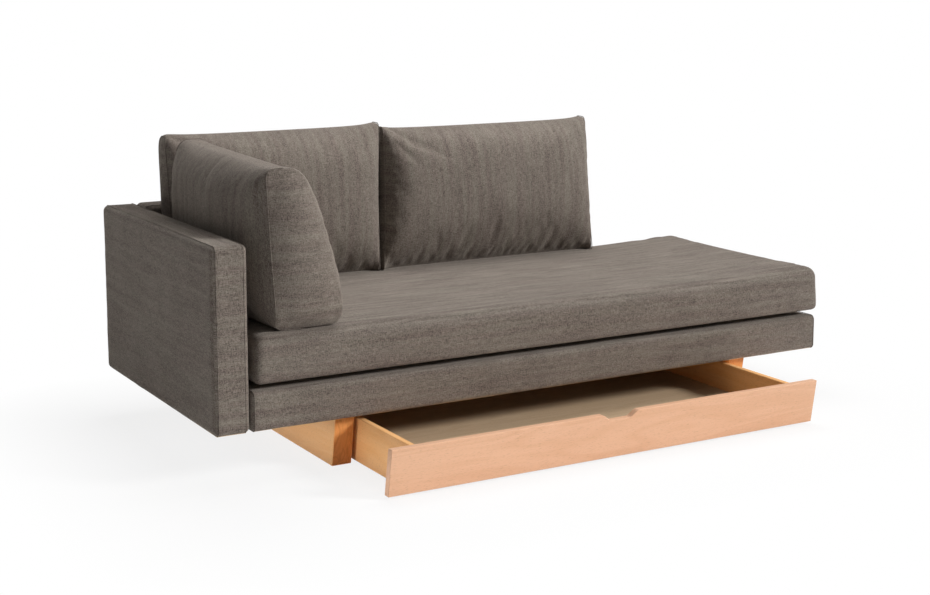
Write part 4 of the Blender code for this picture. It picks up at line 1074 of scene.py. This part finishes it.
def make_mattress(material, covers, after):
    """A deep foam slab in a fitted cover, hollow underneath and fuller at its free end."""
    box_low, box_high = (np.array(corner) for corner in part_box("seat_mattress"))
    low = box_low + np.array(MATTRESS_INSET)
    high = box_high + np.array(MATTRESS_REACH)
    points, _, quads = rounded_box(
        low, high, MATTRESS_RADIUS, MATTRESS_CELL, MATTRESS_FOOT_RADIUS
    )
    above_foot = points[:, 2:] > low[2] + MATTRESS_CROWN_START
    points += swell(points, low, high, MATTRESS_CROWNS) * above_foot
    rise = (points[:, 2] - low[2]) / (high[2] - low[2])
    lift = free_end_share(points, high[0]) * rise
    points[:, 2] += MATTRESS_END_RAISE * lift
    points[:, 0] += MATTRESS_END_LEAN * lift
    held = set(np.nonzero(points[:, 2] < low[2] + MATTRESS_HELD_HEIGHT)[0])
    held |= set(recess_underside(points, low))
    piece = make_mesh("soft_mattress", points, quads, material)
    pin_points(piece, sorted(held))

    def limits(points):
        points = points.copy()
        top = box_high[2] + MATTRESS_END_RAISE * free_end_share(points, high[0])
        points[:, 2] = np.clip(points[:, 2], box_low[2], top)
        points[:, 0] = np.maximum(points[:, 0], box_low[0] - MATTRESS_LEFT_ROOM)
        return points

    covers.append(Cover(piece, MATTRESS_PRESSURE, MATTRESS_GROWTH, MATTRESS_CAP, limits))

    def finish():
        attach(piece, "seat")
        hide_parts("seat_mattress")

    after.append(finish)


# Cloth simulation
def add_cloth(piece, pressure, growth):
    cloth = piece.modifiers.new("cloth", "CLOTH")
    for key, value in CLOTH_SETTINGS.items():
        setattr(cloth.settings, key, value)
    cloth.settings.uniform_pressure_force = pressure
    cloth.settings.shrink_min = -growth
    cloth.settings.effector_weights.gravity = 0
    cloth.collision_settings.use_collision = False
    cloth.point_cache.frame_start = 1
    cloth.point_cache.frame_end = SIM_FRAMES


def run_cloth(covers):
    """Swells all the covers together, each within its cap and its limits."""
    scene = bpy.context.scene
    starts = {cover.piece.name: coordinates_of(cover.piece) for cover in covers}
    for cover in covers:
        add_cloth(cover.piece, cover.pressure, cover.growth)
    for step in range(1, SIM_FRAMES + 1):
        scene.frame_set(step)
    graph = bpy.context.evaluated_depsgraph_get()
    for cover in covers:
        piece = cover.piece
        swelled = piece.evaluated_get(graph)
        mesh = swelled.to_mesh()
        result = np.zeros(len(mesh.vertices) * 3)
        mesh.vertices.foreach_get("co", result)
        swelled.to_mesh_clear()
        piece.modifiers.clear()
        start = starts[piece.name]
        move = result.reshape(-1, 3) - start
        size = np.linalg.norm(move, axis=1)
        soft = cover.cap * np.tanh(size / cover.cap)
        move *= (soft / np.maximum(size, TINY))[:, None]
        sunk = np.minimum(move[:, 2], 0.0)
        move[:, 2] += SINK * np.tanh(sunk / SINK) - sunk
        final = cover.limits(start + move)
        piece.data.vertices.foreach_set("co", final.ravel())
        piece.data.update()
    scene.frame_set(1)


def coordinates_of(piece):
    values = np.zeros(len(piece.data.vertices) * 3)
    piece.data.vertices.foreach_get("co", values)
    return values.reshape(-1, 3)


def subdivide(piece):
    modifier = piece.modifiers.new("smooth", "SUBSURF")
    modifier.levels = modifier.render_levels = 1


# The model's own nodes
def finish_nodes():
    """Each solid that stays gets a finish of its own, found by how its name starts."""
    board = timber("beech_board", 1, BOARD, END_GRAIN)
    front = timber("beech_front", 0, BEECH)
    side = timber("beech_side", 1, BOARD)
    ply = timber("birch_ply", 0, PLY, roughness=PLY_ROUGHNESS)
    pine_x = timber("pine_across", 0, PINE, roughness=PINE_ROUGHNESS, rings=PINE_RINGS)
    pine_y = timber("pine_deep", 1, PINE, roughness=PINE_ROUGHNESS, rings=PINE_RINGS)
    steel = brushed_steel("zinc_steel")
    black = coated_steel("black_steel_coat")
    nylon = moulded("white_nylon", *NYLON)
    rubber = moulded("grey_rubber", *RUBBER)
    finishes = (
        (board, ("plinth_board",)),
        (front, ("plinth_rear_rail", "drawer_front", "drawer_back")),
        (side, ("drawer_side", "base_slide")),
        (ply, ("drawer_bottom", "base_deck", "arm_liner", "back_liner", "seat_deck")),
        (pine_y, ("drawer_muntin", "base_bearer", "arm_frame", "seat_crossbar")),
        (pine_y, ("base_rail_left", "base_rail_right", "seat_rail_left", "seat_rail_right")),
        (pine_x, ("base_rail", "back_frame", "seat_rail")),
        (steel, ("plinth_angle", "arm_joining_plate", "back_joining_plate", "leg_pin")),
        (nylon, ("drawer_guide", "castor_fork", "seat_glide")),
        (rubber, ("castor_wheel", "leg_foot")),
        (black, ("leg_",)),
    )
    replaced = {"arm_cover", "back_cover", "base_cover", "seat_mattress"}
    for name, node in NODES.items():
        if name in replaced or "cushion" in name:
            continue
        material = next(finish for finish, starts in finishes if name.startswith(starts))
        node.data.materials.clear()
        node.data.materials.append(material)


# Studio
def seen_directly(graph):
    """1 for rays from the camera, in mirrors and through glass; 0 for light."""
    path = graph.add("ShaderNodeLightPath")
    share = graph.math("MAXIMUM", path.outputs["Is Camera Ray"], path.outputs["Is Glossy Ray"])
    return graph.math("MAXIMUM", share, path.outputs["Is Transmission Ray"])


def make_floor():
    mesh = bpy.data.meshes.new("floor")
    form = bmesh.new()
    bmesh.ops.create_circle(form, cap_ends=True, segments=FLOOR_SIDES, radius=FLOOR_RADIUS)
    form.to_mesh(mesh)
    form.free()
    floor = bpy.data.objects.new("floor", mesh)
    bpy.context.scene.collection.objects.link(floor)
    graph = Graph(bpy.data.materials.new("floor_paint"))
    size = graph.vector_math("ABSOLUTE", graph.place())
    beyond = graph.vector_math("SUBTRACT", size, FLOOR_HALF_SIZE)
    outside = graph.vector_math("MAXIMUM", beyond, (0.0, 0.0, 0.0))
    distance = graph.vector_math("LENGTH", outside)
    far = graph.stretch(distance, (FLOOR_FADE_START, FLOOR_FADE_END))
    paint = graph.add("ShaderNodeBsdfDiffuse")
    paint.inputs["Color"].default_value = FLOOR_COLOUR
    glow = graph.add("ShaderNodeEmission")
    glow.inputs["Color"].default_value = WHITE
    share = graph.math("MULTIPLY", far, seen_directly(graph))
    mix = graph.shader_mix(share, paint.outputs[0], glow.outputs[0])
    graph.join(mix, graph.output.inputs["Surface"])
    mesh.materials.append(graph.owner)


def make_world():
    """Soft light from all round, and a white background."""
    world = bpy.data.worlds.new("studio")
    bpy.context.scene.world = world
    graph = Graph(world, "ShaderNodeOutputWorld")
    skies = []
    for strength in (SKY_LIGHT, 1.0):
        sky = graph.add("ShaderNodeBackground")
        sky.inputs["Color"].default_value = WHITE
        sky.inputs["Strength"].default_value = strength
        skies.append(sky.outputs[0])
    mix = graph.shader_mix(seen_directly(graph), *skies)
    graph.join(mix, graph.output.inputs["Surface"])


def add_light(name, data, place, rotation):
    lamp = bpy.data.objects.new(name, data)
    bpy.context.scene.collection.objects.link(lamp)
    lamp.location = place
    lamp.rotation_euler = rotation.to_euler()


def make_lamp(name, place, target, size, power, spread):
    data = bpy.data.lights.new(name, "AREA")
    data.spread = spread
    data.shape = "RECTANGLE"
    data.size, data.size_y = size
    data.energy = power
    aim = Vector(target) - Vector(place)
    add_light(name, data, place, aim.to_track_quat("-Z", "Y"))


def make_sun(name, toward, angle, strength):
    """Even light from one side, as from a large lamp far away."""
    data = bpy.data.lights.new(name, "SUN")
    data.angle = angle
    data.energy = strength
    add_light(name, data, toward, Vector(toward).to_track_quat("Z", "Y"))


def make_camera():
    data = bpy.data.cameras.new("camera")
    data.lens = CAMERA_LENS
    data.shift_y = CAMERA_SHIFT
    data.clip_end = CAMERA_REACH
    camera = bpy.data.objects.new("camera", data)
    bpy.context.scene.collection.objects.link(camera)
    camera.location = CAMERA_PLACE
    camera.rotation_euler = (math.pi / 2 - CAMERA_PITCH, 0.0, -CAMERA_YAW)
    bpy.context.scene.camera = camera


def make_studio():
    bpy.context.scene.view_settings.view_transform = "Standard"
    make_camera()
    make_floor()
    make_world()
    make_sun("key", KEY_TOWARD, KEY_ANGLE, KEY_STRENGTH)
    for name, settings in LAMPS.items():
        make_lamp(name, *settings)


def make_soft_parts():
    cloth = fabric("linen_weave", board_weave, 0)
    arm_cloth = fabric("linen_weave_arm", board_weave, 1, ARM_STREAK, ARM_LEVEL_PULLS)
    back_cloth = fabric("linen_weave_back", cushion_weave, 1, level_pulls=CUSHION_LEVEL_PULLS)
    side_cloth = fabric("linen_weave_side", cushion_weave, 0, level_pulls=CUSHION_LEVEL_PULLS)
    arm_crowns = (PANEL_CROWN, EDGE_CROWN, EDGE_CROWN)
    back_crowns = (EDGE_CROWN, PANEL_CROWN, EDGE_CROWN)
    base_crowns = (EDGE_CROWN, PANEL_CROWN, 0.0)
    # node, radius, crowns, seed of the ripple, cloth, the axis the seams face, their inset
    boards = (
        ("arm_cover", PANEL_RADIUS, arm_crowns, 11, arm_cloth, 0, PANEL_SEAM_INSET),
        ("back_cover", PANEL_RADIUS, back_crowns, 12, cloth, 1, PANEL_SEAM_INSET),
        ("base_cover", BASE_RADIUS, base_crowns, 13, cloth, 0, BASE_SEAM_INSET),
    )
    for board in boards:
        upholstered_board(*board)
    covers, after = [], []
    make_mattress(cloth, covers, after)
    make_cushions(back_cloth, side_cloth, covers, after)
    run_cloth(covers)
    for finish in after:
        finish()


make_studio()
finish_nodes()
make_soft_parts()
